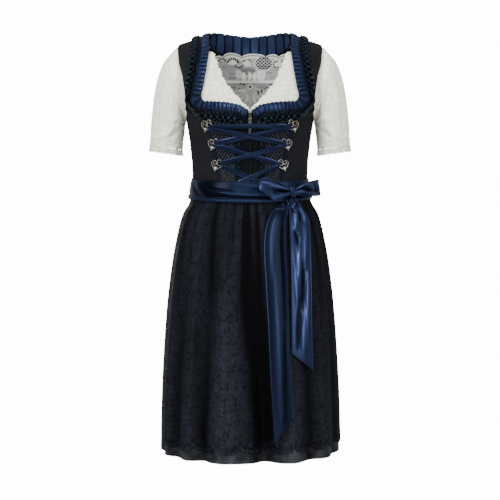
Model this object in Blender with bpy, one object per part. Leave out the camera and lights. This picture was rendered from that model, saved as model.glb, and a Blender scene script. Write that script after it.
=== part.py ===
"""A knee-length dirndl with its apron, sash bow and lace blouse, filled out as if worn.

Metres, +Z up. The origin lies between the shoulders, where the wearer holds the set up.
-Y is the front and +X is the side of the bow.

Every piece of the upper part is laid on one hollow figure form. A place on that form is an
angle round it (0 at the front centre, 90 degrees at the +X side, 180 at the back) and a
nominal height. Up to the chest the nominal height is the real one; above it the form closes
over to the shoulder ridge, which slopes down from the neck.
"""

import math

import bmesh
import bpy
import numpy as np

SEAM_GAP = 0.0003
SEAM_ANGLE = SEAM_GAP / 2 / 0.12

# The figure form: heights and half sizes of a general figure.
CHEST_HEIGHT = -0.100
RIDGE_HEIGHT_AT_NECK = 0.0303
RIDGE_SLOPE = 0.331
RIDGE_Y = 0.010
SHOULDER_ROUNDNESS = 2.2
CUP_X = 0.075
CUP_HEIGHT = -0.186
CUP_SPREAD = 0.038
CUP_RISE = 0.009

# One row for each level of the form: height, half width, front depth, back depth, and how
# square the section is (2 is an ellipse).
FORM_LEVELS = np.array([
    (-0.400, 0.1390, 0.106, 0.098, 2.2),
    (-0.345, 0.1335, 0.101, 0.092, 2.2),
    (-0.300, 0.1352, 0.105, 0.093, 2.2),
    (-0.250, 0.1405, 0.116, 0.097, 2.25),
    (-0.205, 0.1478, 0.126, 0.101, 2.3),
    (-0.170, 0.1550, 0.125, 0.104, 2.5),
    (-0.135, 0.1605, 0.115, 0.107, 2.8),
    (-0.100, 0.1650, 0.104, 0.107, 3.0),
    (-0.060, 0.1720, 0.104, 0.107, 3.0),
    (0.000, 0.1780, 0.104, 0.107, 3.0),
])

# How far each layer lies out from the form: inner face and outer face.
BLOUSE_LAYER = (-0.0034, -0.0022)
DRESS_LAYER = (0.0014, 0.0034)
TRIM_BASE = 0.0046

WAIST_SEAM = -0.362
BLOUSE_HEM = -0.235
UNDERARM = -0.200

# Dress neckline at the front, as nominal height against x, from the ridge to the corner.
FRONT_NECK_SIDE = np.array([
    (-0.150, 0.1130),
    (-0.142, 0.1120),
    (-0.128, 0.1080),
    (-0.090, 0.1010),
    (-0.037, 0.0930),
    (0.000, 0.0960),
])
# Lower edge of the front neckline, as x against nominal height, with the notch at the zip.
FRONT_NECK_BOTTOM = np.array([
    (0.000, -0.1830),
    (0.010, -0.1770),
    (0.022, -0.1695),
    (0.056, -0.1640),
    (0.100, -0.1600),
    (0.1075, -0.1580),
    (0.1118, -0.1545),
    (0.1130, -0.1500),
])
# Princess seam, as nominal height against x.
PRINCESS = np.array([
    (-0.362, 0.0660),
    (-0.3075, 0.0740),
    (-0.2585, 0.0825),
    (-0.215, 0.0950),
    (-0.175, 0.1090),
    (-0.150, 0.1130),
])
# Armhole edge of the dress: nominal height, then degrees forward and back from the side.
ARMHOLE = np.array([
    (-0.200, 0.0, 0.0),
    (-0.197, 9.0, 9.0),
    (-0.190, 14.0, 15.0),
    (-0.180, 17.0, 19.0),
    (-0.160, 21.0, 23.0),
    (-0.135, 23.0, 26.0),
    (-0.100, 23.2, 28.0),
    (-0.060, 20.5, 25.0),
    (0.000, 21.0, 21.0),
])
# Back neckline of the dress, as x against nominal height.
BACK_NECK = np.array([
    (0.000, -0.0550),
    (0.050, -0.0480),
    (0.075, -0.0390),
    (0.088, -0.0300),
    (0.0935, -0.0220),
    (0.0955, -0.0120),
    (0.0960, 0.0000),
])
# Back seam up to the corner of the neckline, as nominal height against x.
BACK_SEAM = np.array([
    (-0.3620, 0.0480),
    (-0.2500, 0.0580),
    (-0.1500, 0.0760),
    (-0.0220, 0.0935),
])
BODICE_ROWS = np.array([
    -0.362, -0.343, -0.303, -0.262, -0.223, -0.186, -0.150, -0.125, -0.100,
    -0.0741, -0.0500, -0.0293, -0.0134, -0.0034, 0.0,
])
ROW_NEAR = 0.004
ZIP_HALF = 0.0029
# Steps that a normal of the form is measured over, and the points a line is measured with.
NORMAL_STEP, NORMAL_TURN = 0.004, 0.016
LINE_POINTS = 600
# Below the shoulder ridge the normals turn upwards over this much of the nominal height.
RIDGE_BAND = 0.0042

# The blouse: its V edge and the edge of its back lace, as nominal height against x.
BLOUSE_NECK = np.array([
    (-0.235, 0.0010),
    (-0.183, 0.0015),
    (-0.143, 0.0360),
    (-0.112, 0.0590),
    (-0.074, 0.0760),
    (-0.037, 0.0890),
    (0.000, 0.0935),
])
BLOUSE_BACK_EDGE = np.array([
    (-0.235, 0.0700),
    (-0.100, 0.0860),
    (-0.037, 0.0905),
    (0.000, 0.0935),
])
BLOUSE_WIDER = 2.2
BACK_LACE_TOP = -0.0455
BACK_LACE_ROWS = np.array([-0.235, -0.180, -0.125, -0.0800, BACK_LACE_TOP])
BACK_SCALLOPS = 5
BACK_SCALLOP_RISE = 0.0080
# Gaps of the back lace: a net of diamonds, a fan, one round eyelet and a row of small ones.
NET_X, NET_HEIGHT, NET_PITCH, NET_GAP = 0.038, -0.0510, 0.0080, 0.0024
NET_ROWS, NET_ACROSS, NET_ROW_SHARE = 4, 4, 0.62
FAN_X, FAN_HEIGHT, FAN_RADIUS, FAN_GAPS = -0.044, -0.068, 0.013, 6
FAN_FLATNESS = 0.8
ROUND_EYELET = (0.002, -0.119, 0.0032, 0.0032, 8)
EYELETS_X, EYELETS_HEIGHT, EYELET_RADIUS = (-0.020, -0.010, 0.014, 0.024), -0.112, 0.0023
CUTTER_REACH = 0.008

# The sleeve, a row for each ring below the armhole: top x, top height, underarm x, underarm
# height, half depth.
SLEEVE_RINGS = np.array([
    (0.1880, -0.0445, 0.1545, -0.2070, 0.0640),
    (0.2050, -0.0680, 0.1548, -0.2150, 0.0635),
    (0.2190, -0.1050, 0.1552, -0.2240, 0.0620),
    (0.2285, -0.1530, 0.1565, -0.2350, 0.0600),
    (0.2345, -0.2050, 0.1580, -0.2440, 0.0585),
    (0.2375, -0.2430, 0.1592, -0.2520, 0.0575),
])
CUFF_RINGS = np.array([
    (0.2376, -0.2440, 0.1592, -0.2530, 0.0575),
    (0.2385, -0.2590, 0.1598, -0.2690, 0.0572),
    (0.2395, -0.2720, 0.1600, -0.2830, 0.0570),
])
SLEEVE_COLUMNS = 22
SLEEVE_CLOTH = 0.0012
SLEEVE_Y = 0.004
ARMHOLE_OUT = -0.0022
ARMHOLE_CLEAR = 0.0013
CUFF_SCALLOPS = 16
CUFF_SCALLOP_DEPTH = 0.0035

# Trims, as widths measured away from the neckline edge: inner side and outer side.
PLEATS_BAND = (0.0000, 0.0162)
PIPING_BAND = (0.0190, 0.0214)
RUCHE_BAND = (0.0229, 0.0412)
PLEAT_PITCH_FRONT = 0.0105
PLEAT_PITCH_BACK = 0.0260
PLEAT_RISE = 0.0018
RUCHE_PITCH = 0.0220
RUCHE_LOW, RUCHE_HIGH = 0.0014, 0.0038
CENTRE_RUCHE_X, CENTRE_RUCHE_HALF = 0.0265, 0.0070
CENTRE_RUCHE_TOP, CENTRE_RUCHE_FOOT = -0.2300, -0.3150
PIPING_HIGH = 0.0015
PIPING_HALF = 0.0017
PIPING_TOP = -0.2060
SEAM_PIPING_POINTS = 12
STRIP_CLOTH = 0.0012
RIDGE_SHARE = 0.030
TRIM_MOST_X = 0.1425
TRIM_END_X, TRIM_END_HEIGHT = 0.0045, -0.1795
RUCHE_WAVE = 0.0020
NECK_RUCHE_BASE = TRIM_BASE + 0.0012
BACK_STAND_OUT, BACK_SEWN, BACK_ROWS = 0.0006, 0.0080, 4
# Top of the ribbon that stands up at the back of the neck, as real height against x.
BACK_STAND = np.array([
    (0.0000, -0.0040),
    (0.0370, -0.0018),
    (0.0720, 0.0008),
    (0.0860, -0.0002),
    (0.0960, -0.0030),
])
LACING_POINTS = 9

# Lacing hooks, top to bottom: x and height.
HOOKS = np.array([
    (0.0965, -0.2160),
    (0.0825, -0.2590),
    (0.0750, -0.3080),
])
HOOK_OUT = (0.0069, 0.0087)
HOOK_RADIUS, HOOK_EYE, HOOK_LOBES, HOOK_LOBE_RISE = 0.0105, 0.0042, 5, 0.12
LACE_WIDTH, LACE_CLOTH = 0.0110, 0.0010
# Lacing bands: name, start x, start height, end x, end height, start out, end out.
LACING = (
    ("lacing_top", -0.0880, -0.2155, 0.0860, -0.2135, 0.0105, 0.0105),
    ("lacing_one_down", -0.0880, -0.2200, 0.0770, -0.2530, 0.0120, 0.0120),
    ("lacing_one_up", 0.0860, -0.2190, -0.0770, -0.2530, 0.0090, 0.0105),
    ("lacing_two_down", -0.0745, -0.2590, 0.0660, -0.3020, 0.0090, 0.0090),
    ("lacing_two_up", 0.0745, -0.2590, -0.0660, -0.3020, 0.0105, 0.0105),
    ("lacing_end_left", -0.0620, -0.3090, 0.0280, -0.3480, 0.0056, 0.0043),
    ("lacing_end_right", 0.0620, -0.3090, -0.0280, -0.3480, 0.0074, 0.0059),
)

# The zip: its chain, the slider with two ears, and the pull tab that hangs between them.
ZIP_TOP, ZIP_FOOT = -0.1830, -0.3600
ZIP_CHAIN_HALF, ZIP_CHAIN_OUT = 0.0022, (0.0016, 0.0036)
SLIDER_TOP, SLIDER_FOOT = -0.1870, -0.1965
SLIDER_HALF, EAR_HALF = 0.0034, 0.0024
SLIDER_OUT, EAR_OUT = (0.0041, 0.0071), 0.0092
HINGE_HEIGHT, HINGE_OUT = -0.1945, 0.0081
TAB_HALF, TAB_THICKNESS, TAB_FOOT = 0.0020, 0.0012, -0.2070

# The skirt, a row for each level: height, half width, front depth, back depth, squareness.
SKIRT_LEVELS = np.array([
    (-0.3625, 0.1386, 0.1060, 0.0972, 2.2),
    (-0.3980, 0.1440, 0.1115, 0.1040, 2.2),
    (-0.4250, 0.1600, 0.1240, 0.1180, 2.2),
    (-0.4700, 0.1730, 0.1350, 0.1300, 2.2),
    (-0.5400, 0.1865, 0.1497, 0.1447, 2.2),
    (-0.6350, 0.1985, 0.1647, 0.1588, 2.2),
    (-0.7500, 0.2075, 0.1772, 0.1712, 2.2),
    (-0.8700, 0.2132, 0.1868, 0.1808, 2.2),
    (-0.9900, 0.2160, 0.1930, 0.1870, 2.2),
])
SKIRT_CLOTH = 0.0018
SKIRT_COLUMNS = 72
SKIRT_GATHER = 0.0009
GATHER_FADE = 0.16
# Falling folds: degrees at the hem, half width in degrees, relief at the hem, degrees that
# the fold leans on its way down, and how early it starts (a low power starts at the waist).
FOLDS = np.array([
    (-75.0, 6.0, -0.0080, -3.0, 1.0),
    (-63.0, 6.5, 0.0050, -3.0, 1.2),
    (-52.0, 6.0, -0.0080, -4.0, 0.9),
    (-40.0, 6.5, 0.0070, -5.0, 1.2),
    (-29.0, 5.0, -0.0120, -6.0, 0.8),
    (-14.0, 9.0, 0.0110, -3.0, 1.1),
    (8.5, 5.5, -0.0260, 11.0, 0.7),
    (24.0, 7.0, 0.0130, 5.0, 1.1),
    (40.0, 6.0, -0.0080, 5.0, 1.0),
    (53.0, 7.0, 0.0060, 4.0, 1.2),
    (67.0, 6.0, -0.0070, 3.0, 1.0),
    (97.0, 7.0, -0.0080, 3.0, 0.9),
    (111.0, 6.0, 0.0080, 3.0, 1.2),
    (124.0, 6.0, -0.0120, 2.0, 0.8),
    (138.0, 7.0, 0.0110, 2.0, 1.1),
    (153.0, 6.0, -0.0150, 2.0, 0.8),
    (168.0, 7.0, 0.0130, 1.0, 1.1),
    (184.0, 5.5, -0.0180, 0.0, 0.7),
    (199.0, 7.0, 0.0120, -1.0, 1.1),
    (214.0, 6.0, -0.0140, -2.0, 0.8),
    (229.0, 7.0, 0.0100, -2.0, 1.2),
    (243.0, 6.0, -0.0110, -3.0, 0.9),
    (257.0, 6.0, 0.0070, -3.0, 1.1),
])

# The apron: first and last skirt column, hem above the skirt hem, scallops and its gathers.
APRON_FIRST, APRON_SPANS = -13, 30
APRON_CLOTH = 0.0010
APRON_TOP_GAP, APRON_HEM_GAP = 0.0005, 0.0022
APRON_GATHER = 0.0012
APRON_HEM_RISE = 0.0240
APRON_SCALLOP_DEPTH = 0.0140
COLUMNS_PER_SCALLOP = 6

# The sash: heights of its edges at the front and at the sides, and how far out it lies.
SASH_TOP_FRONT, SASH_TOP_SIDE = -0.3450, -0.3390
SASH_FOOT_FRONT, SASH_FOOT_SIDE = -0.3950, -0.3870
SASH_CLOTH = 0.0016
SASH_COLUMNS = 30
# Share of the drop, how far out at the sides, and how much more at the front.
SASH_SECTION = np.array([
    (0.00, 0.0043, 0.0044),
    (0.30, 0.0062, 0.0034),
    (0.72, 0.0084, 0.0026),
    (1.00, 0.0094, 0.0022),
])

# Bow loops, from the knot out round the tip and back: degrees, middle height, out, half height.
LEFT_LOOP = np.array([
    (35.0, -0.3700, 0.0205, 0.0075),
    (25.0, -0.3695, 0.0290, 0.0180),
    (18.5, -0.3650, 0.0285, 0.0230),
    (12.5, -0.3560, 0.0260, 0.0190),
    (8.2, -0.3515, 0.0215, 0.0120),
    (8.0, -0.3515, 0.0172, 0.0110),
    (11.0, -0.3550, 0.0143, 0.0150),
    (20.0, -0.3655, 0.0139, 0.0200),
    (34.6, -0.3700, 0.0137, 0.0080),
])
RIGHT_LOOP = np.array([
    (42.0, -0.3710, 0.0205, 0.0075),
    (53.0, -0.3670, 0.0290, 0.0150),
    (66.0, -0.3635, 0.0320, 0.0195),
    (75.0, -0.3620, 0.0340, 0.0205),
    (79.5, -0.3620, 0.0300, 0.0205),
    (77.5, -0.3625, 0.0235, 0.0200),
    (60.0, -0.3665, 0.0140, 0.0165),
    (42.4, -0.3710, 0.0133, 0.0080),
])
LOOP_STEPS, LOOP_CLOTH = 14, 0.0012
KNOT_DEGREES, KNOT_HEIGHT, KNOT_OUT = 38.5, -0.3710, 0.0195
KNOT_HALF, KNOT_ROUND, KNOT_UP = (0.0085, 0.0078, 0.0135), 12, 7
# Bow tails, a row for each level: left x, left height, right x, right height.
LONG_TAIL = np.array([
    (0.0840, -0.3858, 0.0950, -0.3838),
    (0.0560, -0.4100, 0.0885, -0.4100),
    (0.0390, -0.4400, 0.0840, -0.4400),
    (0.0330, -0.4900, 0.0825, -0.4900),
    (0.0360, -0.5700, 0.0860, -0.5700),
    (0.0420, -0.6700, 0.0895, -0.6700),
    (0.0460, -0.7600, 0.0925, -0.7600),
    (0.0510, -0.8450, 0.0960, -0.8350),
    (0.0570, -0.9390, 0.0990, -0.8840),
])
SHORT_TAIL = np.array([
    (0.0968, -0.3844, 0.1070, -0.3862),
    (0.0920, -0.4100, 0.1240, -0.4100),
    (0.0925, -0.4400, 0.1390, -0.4400),
    (0.0940, -0.5000, 0.1410, -0.5000),
    (0.0955, -0.5800, 0.1425, -0.5800),
    (0.0960, -0.6600, 0.1435, -0.6700),
    (0.0965, -0.7360, 0.1460, -0.7790),
])
TAIL_CLOTH, TAIL_COLUMNS = 0.0012, 6
TAIL_CLEAR, TAIL_SPREAD, TAIL_RIPPLE = 0.0046, 9.0, 0.0022
TAIL_SPRING = 0.20
TAIL_OVER_SASH = 0.0090


def clear_scene():
    """Remove the objects that the file opens with."""
    for old in list(bpy.data.objects):
        bpy.data.objects.remove(old, do_unlink=True)


def finish(name, colour, roughness, metallic=0.0):
    """A plain material of one colour."""
    made = bpy.data.materials.new(name)
    made.use_nodes = True
    shader = made.node_tree.nodes["Principled BSDF"]
    shader.inputs["Base Color"].default_value = (*colour, 1.0)
    shader.inputs["Roughness"].default_value = roughness
    shader.inputs["Metallic"].default_value = metallic
    return made


def column(table, at, key=0, value=1):
    """Read one column of a table at a value of another column."""
    rows = table[np.argsort(table[:, key])]
    return np.interp(at, rows[:, key], rows[:, value])


def ridge_height(x):
    """Real height of the shoulder ridge at this x."""
    return RIDGE_HEIGHT_AT_NECK - RIDGE_SLOPE * np.abs(x)


def nominal(x, z):
    """The nominal height of a real height at this x, above the chest."""
    return CHEST_HEIGHT - CHEST_HEIGHT * (z - CHEST_HEIGHT) / (ridge_height(x) - CHEST_HEIGHT)


def half_width(height):
    """Half width of the form at a nominal height."""
    return column(FORM_LEVELS, height)


def form(angle, height):
    """Points of the figure form at angles in radians and nominal heights."""
    angle, height = np.broadcast_arrays(np.asarray(angle, float), np.asarray(height, float))
    power = 2.0 / column(FORM_LEVELS, height, value=4)
    side = np.sin(angle)
    ahead = np.cos(angle)
    x = half_width(height) * np.sign(side) * np.abs(side) ** power
    front = column(FORM_LEVELS, height, value=2)
    back = column(FORM_LEVELS, height, value=3)
    depth = np.where(ahead > 0, -front, back) * np.abs(ahead) ** power
    cup = ((np.abs(x) - CUP_X) / CUP_SPREAD) ** 2 + ((height - CUP_HEIGHT) / CUP_SPREAD) ** 2
    depth = depth - np.where(ahead > 0, CUP_RISE * np.exp(-cup) * np.abs(ahead), 0.0)
    rise = np.clip((height - CHEST_HEIGHT) / -CHEST_HEIGHT, 0.0, 1.0)
    closing = (1.0 - rise ** SHOULDER_ROUNDNESS) ** (1.0 / SHOULDER_ROUNDNESS)
    y = RIDGE_Y * rise + depth * closing
    lifted = CHEST_HEIGHT + rise * (ridge_height(x) - CHEST_HEIGHT)
    z = np.where(height > CHEST_HEIGHT, lifted, height)
    return np.stack([x, y, z], axis=-1)


def angle_at(x, height, back=False):
    """The angle at which the form has this x at this nominal height."""
    share = np.clip(np.abs(x) / half_width(height), 0.0, 1.0)
    angle = np.arcsin(share ** (column(FORM_LEVELS, height, value=4) / 2.0)) * np.sign(x)
    if back:
        return np.where(np.asarray(x) < 0, -math.pi, math.pi) - angle
    return angle


def laid(angle, height, out):
    """Points that lie a distance out from the form, along its normal."""
    angle, height = np.broadcast_arrays(np.asarray(angle, float), np.asarray(height, float))
    low = np.minimum(height, -RIDGE_BAND)
    round_it = form(angle + NORMAL_TURN, low) - form(angle - NORMAL_TURN, low)
    up_it = form(angle, low + NORMAL_STEP) - form(angle, low - NORMAL_STEP)
    normal = np.cross(round_it, up_it)
    normal /= np.linalg.norm(normal, axis=-1, keepdims=True)
    over = np.clip((height + RIDGE_BAND) / RIDGE_BAND, 0.0, 1.0)[..., None]
    normal = normal * (1.0 - over) + np.array([0.0, 0.0, 1.0]) * over
    normal /= np.linalg.norm(normal, axis=-1, keepdims=True)
    return form(angle, height) + normal * np.asarray(out, float)[..., None]


def grid_normals(grid, closed=False):
    """Normals of a grid of points, from its neighbours along both directions."""
    if closed:
        along = np.roll(grid, -1, axis=1) - np.roll(grid, 1, axis=1)
    else:
        along = np.gradient(grid, axis=1)
    across = np.gradient(grid, axis=0)
    normal = np.cross(along, across)
    return normal / np.linalg.norm(normal, axis=-1, keepdims=True)


def add_object(name, points, faces, look, smooth=True):
    """Make one closed object, with its faces turned outwards."""
    mesh = bpy.data.meshes.new(name)
    mesh.from_pydata([tuple(point) for point in points], [], faces)
    build = bmesh.new()
    build.from_mesh(mesh)
    bmesh.ops.remove_doubles(build, verts=build.verts, dist=1e-7)
    bmesh.ops.triangulate(build, faces=build.faces)
    if build.calc_volume(signed=True) < 0:
        bmesh.ops.reverse_faces(build, faces=build.faces)
    build.to_mesh(mesh)
    build.free()
    if smooth:
        mesh.shade_smooth()
        mesh.set_sharp_from_angle(angle=math.radians(50))
    mesh.materials.append(look)
    made = bpy.data.objects.new(name, mesh)
    bpy.context.scene.collection.objects.link(made)
    return made


def wall(name, inner, outer, look, closed=False):
    """A closed wall between two grids of points; a closed one goes all round its columns."""
    rows, columns = inner.shape[:2]
    points = np.concatenate([inner.reshape(-1, 3), outer.reshape(-1, 3)])
    far = rows * columns
    faces = []
    spans = columns if closed else columns - 1
    for row in range(rows - 1):
        for here in range(spans):
            beside = (here + 1) % columns
            a, b = row * columns + here, row * columns + beside
            c, d = b + columns, a + columns
            faces += [(a, c, b), (a, d, c)]
            faces += [(far + a, far + b, far + c), (far + a, far + c, far + d)]
    for here in range(spans):
        beside = (here + 1) % columns
        top = (rows - 1) * columns
        faces.append((here, beside, far + beside, far + here))
        faces.append((top + beside, top + here, far + top + here, far + top + beside))
    if not closed:
        for row in range(rows - 1):
            a, d = row * columns, (row + 1) * columns
            b, c = a + columns - 1, d + columns - 1
            faces.append((d, a, far + a, far + d))
            faces.append((b, c, far + c, far + b))
    return add_object(name, points, faces, look)


def panel_places(rows, top_at, left_at, right_at, columns):
    """Angles and heights of a panel: its rows stretched to its top edge, columns across."""
    share = (rows - rows[0]) / (rows[-1] - rows[0])
    heights = np.empty((len(rows), columns))
    angles = np.empty((len(rows), columns))
    for here, across in enumerate(np.linspace(0.0, 1.0, columns)):
        heights[:, here] = rows[0] + (top_at(across) - rows[0]) * share
        left, right = left_at(heights[:, here]), right_at(heights[:, here])
        angles[:, here] = left + (right - left) * across
    return angles, heights


def rows_between(low, high):
    """The bodice's row heights from one level to another."""
    inside = BODICE_ROWS[(BODICE_ROWS > low + ROW_NEAR) & (BODICE_ROWS < high - ROW_NEAR)]
    return np.concatenate([[low], inside, [high]])


def panel(name, places, layer, look, back=False):
    """A cloth wall laid on the form, half a seam gap towards its own half of the figure."""
    angles, heights = places
    apart = np.array([0.0, SEAM_GAP / 2 if back else -SEAM_GAP / 2, 0.0])
    inner = laid(angles, heights, layer[0]) + apart
    outer = laid(angles, heights, layer[1]) + apart
    return wall(name, inner, outer, look)


def mirrored(places, side):
    """The same places on the other side of the figure where side is -1."""
    angles, heights = places
    return (angles, heights) if side > 0 else (-angles[:, ::-1], heights[:, ::-1])


def front_inner_edge(height):
    """Inner edge of the side front: the princess seam, then the side of the neckline."""
    seam = column(PRINCESS, height)
    neck = column(FRONT_NECK_SIDE, height)
    x = np.where(height < PRINCESS[-1, 0], seam, neck)
    return angle_at(x, height) + SEAM_ANGLE


def front_outer_edge(height, wider=0.0):
    """Outer edge of the side front: the side seam, then the front of the armhole."""
    turn = np.maximum(column(ARMHOLE, height) - wider * (height > UNDERARM), 0.0)
    return np.radians(90.0 - turn)


def back_outer_edge(height, wider=0.0):
    """Outer edge of the back: the side seam, then the back of the armhole."""
    turn = np.maximum(column(ARMHOLE, height, value=2) - wider * (height > UNDERARM), 0.0)
    return np.radians(90.0 + turn)


def back_inner_edge(height):
    """Inner edge of the side back: the back seam, then the side of the back neckline."""
    neck = column(BACK_NECK, height, key=1, value=0)
    x = np.where(height < BACK_SEAM[-1, 0], column(BACK_SEAM, height), neck)
    return angle_at(x, height, back=True) - SEAM_ANGLE


def build_bodice(looks):
    """The dress bodice: centre front, side front with strap, side back with strap, back."""
    corner_x, corner_height = PRINCESS[-1, 1], PRINCESS[-1, 0]
    for side, hand in ((-1, "left"), (1, "right")):
        centre = panel_places(
            rows_between(WAIST_SEAM, corner_height),
            lambda across: column(FRONT_NECK_BOTTOM, ZIP_HALF + (corner_x - ZIP_HALF) * across),
            lambda height: angle_at(np.full(np.shape(height), ZIP_HALF), height),
            lambda height: angle_at(column(PRINCESS, height), height) - SEAM_ANGLE,
            columns=6)
        panel(f"centre_front_{hand}", mirrored(centre, side), DRESS_LAYER, looks["brocade"])
        side_front = panel_places(
            rows_between(WAIST_SEAM, 0.0), lambda across: 0.0,
            front_inner_edge, front_outer_edge, columns=6)
        panel(f"side_front_{hand}", mirrored(side_front, side), DRESS_LAYER, looks["bodice"])
        side_back = panel_places(
            rows_between(WAIST_SEAM, 0.0), lambda across: 0.0,
            back_outer_edge, back_inner_edge, columns=6)
        panel(f"side_back_{hand}", mirrored(side_back, side), DRESS_LAYER, looks["bodice"],
              back=True)
    corner_height, half = BACK_SEAM[-1]
    centre_back = panel_places(
        rows_between(WAIST_SEAM, corner_height),
        lambda across: column(BACK_NECK, abs(half * (2.0 * across - 1.0))),
        lambda height: back_inner_edge(height) + 2.0 * SEAM_ANGLE,
        lambda height: 2.0 * math.pi - back_inner_edge(height) - 2.0 * SEAM_ANGLE,
        columns=11)
    panel("centre_back", centre_back, DRESS_LAYER, looks["bodice"], back=True)


def blouse_neck_edge(height):
    """Front edge of the blouse: closed below the notch, a V above it."""
    return angle_at(column(BLOUSE_NECK, height), height)


def scalloped_top(across):
    """Top edge of the blouse's back lace: a row of scallops."""
    wave = abs(math.sin(math.pi * across * BACK_SCALLOPS))
    x = BLOUSE_BACK_EDGE[-2, 1] * (2.0 * across - 1.0)
    return nominal(x, BACK_LACE_TOP + BACK_SCALLOP_RISE * math.sqrt(wave))


def build_blouse(looks):
    """The blouse body: two fronts, two back sides and the lace back with its cut gaps."""
    lower = rows_between(BLOUSE_HEM, 0.0)
    for side, hand in ((-1, "left"), (1, "right")):
        front = panel_places(
            lower, lambda across: 0.0, blouse_neck_edge,
            lambda height: front_outer_edge(height, BLOUSE_WIDER), columns=6)
        panel(f"blouse_front_{hand}", mirrored(front, side), BLOUSE_LAYER, looks["blouse"])
        back = panel_places(
            lower, lambda across: 0.0,
            lambda height: back_outer_edge(height, BLOUSE_WIDER),
            lambda height: angle_at(column(BLOUSE_BACK_EDGE, height), height, back=True)
            - SEAM_ANGLE,
            columns=5)
        panel(f"blouse_back_{hand}", mirrored(back, side), BLOUSE_LAYER, looks["blouse"],
              back=True)
    lace = panel_places(
        BACK_LACE_ROWS, scalloped_top,
        lambda height: angle_at(column(BLOUSE_BACK_EDGE, height), height, back=True) + SEAM_ANGLE,
        lambda height: 2.0 * math.pi
        - angle_at(column(BLOUSE_BACK_EDGE, height), height, back=True) - SEAM_ANGLE,
        columns=BACK_SCALLOPS * 3 + 1)
    back = panel("blouse_lace_back", lace, BLOUSE_LAYER, looks["lace"], back=True)
    cut_gaps(back, lace_gaps(), looks["lace"])


def lace_gaps():
    """Centres, half widths, half heights and side counts of the gaps in the back lace."""
    gaps = []
    for row in range(NET_ROWS):
        for place in range(NET_ACROSS):
            x = NET_X + (place - (NET_ACROSS - 1) / 2 + 0.5 * (row % 2)) * NET_PITCH
            height = NET_HEIGHT - row * NET_PITCH * NET_ROW_SHARE
            gaps.append((x, height, NET_GAP, NET_GAP, 4))
    for step in range(FAN_GAPS):
        turn = math.pi * (step + 0.5) / FAN_GAPS
        gaps.append((FAN_X + FAN_RADIUS * math.cos(turn),
                     FAN_HEIGHT + FAN_RADIUS * FAN_FLATNESS * math.sin(turn), NET_GAP, NET_GAP, 4))
    gaps.append(ROUND_EYELET)
    for x in EYELETS_X:
        gaps.append((x, EYELETS_HEIGHT, EYELET_RADIUS, EYELET_RADIUS, 6))
    return gaps


def cut_gaps(cloth, gaps, look):
    """Cut gaps through a back panel with one prism for each."""
    points, faces = [], []
    for x, height, half_w, half_h, sides in gaps:
        ring = []
        for corner in range(sides):
            turn = 2.0 * math.pi * corner / sides
            at_x = x + half_w * math.cos(turn)
            real = height + half_h * math.sin(turn)
            ring.append((at_x, nominal(at_x, real) if real > CHEST_HEIGHT else real))
        base = len(points)
        for out in (-CUTTER_REACH, CUTTER_REACH):
            for px, ph in ring:
                points.append(laid(angle_at(px, ph, back=True), ph, out))
        faces.append([base + corner for corner in range(sides)][::-1])
        faces.append([base + sides + corner for corner in range(sides)])
        for corner in range(sides):
            beside = (corner + 1) % sides
            faces.append((base + corner, base + beside, base + sides + beside,
                          base + sides + corner))
    cutter = add_object("lace_cutter", points, faces, look, smooth=False)
    cutter.hide_render = True
    cutter.display_type = "WIRE"
    cut = cloth.modifiers.new("gaps", "BOOLEAN")
    cut.object = cutter
    cut.operation = "DIFFERENCE"
    cut.solver = "EXACT"


def armhole_ring():
    """The seam line of the right sleeve: down the front of the armhole and up its back."""
    ring = []
    for turn in 2.0 * math.pi * np.arange(SLEEVE_COLUMNS) / SLEEVE_COLUMNS:
        height = UNDERARM / 2.0 * (1.0 - math.cos(turn))
        edge = front_outer_edge if turn <= math.pi else back_outer_edge
        angle = edge(height, BLOUSE_WIDER)
        ring.append(laid(angle, height, ARMHOLE_OUT))
    ring = np.array(ring)
    ring[:, 0] += ARMHOLE_CLEAR
    return ring


def sleeve_ring(top_x, top_z, under_x, under_z, half_depth, columns):
    """One ring of a sleeve, from its top point round by the front."""
    turn = 2.0 * math.pi * np.arange(columns) / columns
    middle = np.array([(top_x + under_x) / 2, SLEEVE_Y, (top_z + under_z) / 2])
    upper = np.array([(top_x - under_x) / 2, 0.0, (top_z - under_z) / 2])
    ring = middle + np.cos(turn)[:, None] * upper
    ring[:, 1] -= half_depth * np.sin(turn)
    return ring


def flipped(grid, side):
    """A grid of points on the +X side, or its mirror image where side is -1."""
    return grid * np.array([side, 1.0, 1.0])


def build_sleeves(looks):
    """Two short sleeves, each with a scalloped lace cuff."""
    for side, hand in ((-1, "left"), (1, "right")):
        rings = [armhole_ring()]
        rings += [sleeve_ring(*row, SLEEVE_COLUMNS) for row in SLEEVE_RINGS]
        grid = np.array(rings)
        inner = grid - outward(grid, closed=True) * SLEEVE_CLOTH
        wall(f"sleeve_{hand}", flipped(inner, side), flipped(grid, side), looks["blouse"],
             closed=True)
        columns = CUFF_SCALLOPS * 2
        cuff = np.array([sleeve_ring(*row, columns) for row in CUFF_RINGS])
        cuff[-1, ::2, 2] -= CUFF_SCALLOP_DEPTH
        inner = cuff - outward(cuff, closed=True) * SLEEVE_CLOTH
        wall(f"cuff_lace_{hand}", flipped(inner, side), flipped(cuff, side), looks["lace"],
             closed=True)


def outward(grid, closed=False):
    """Normals of a grid that point away from its own middle line."""
    normal = grid_normals(grid, closed)
    away = grid - grid.mean(axis=1, keepdims=True)
    return normal * np.sign((normal * away).sum(axis=-1).mean())


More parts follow.
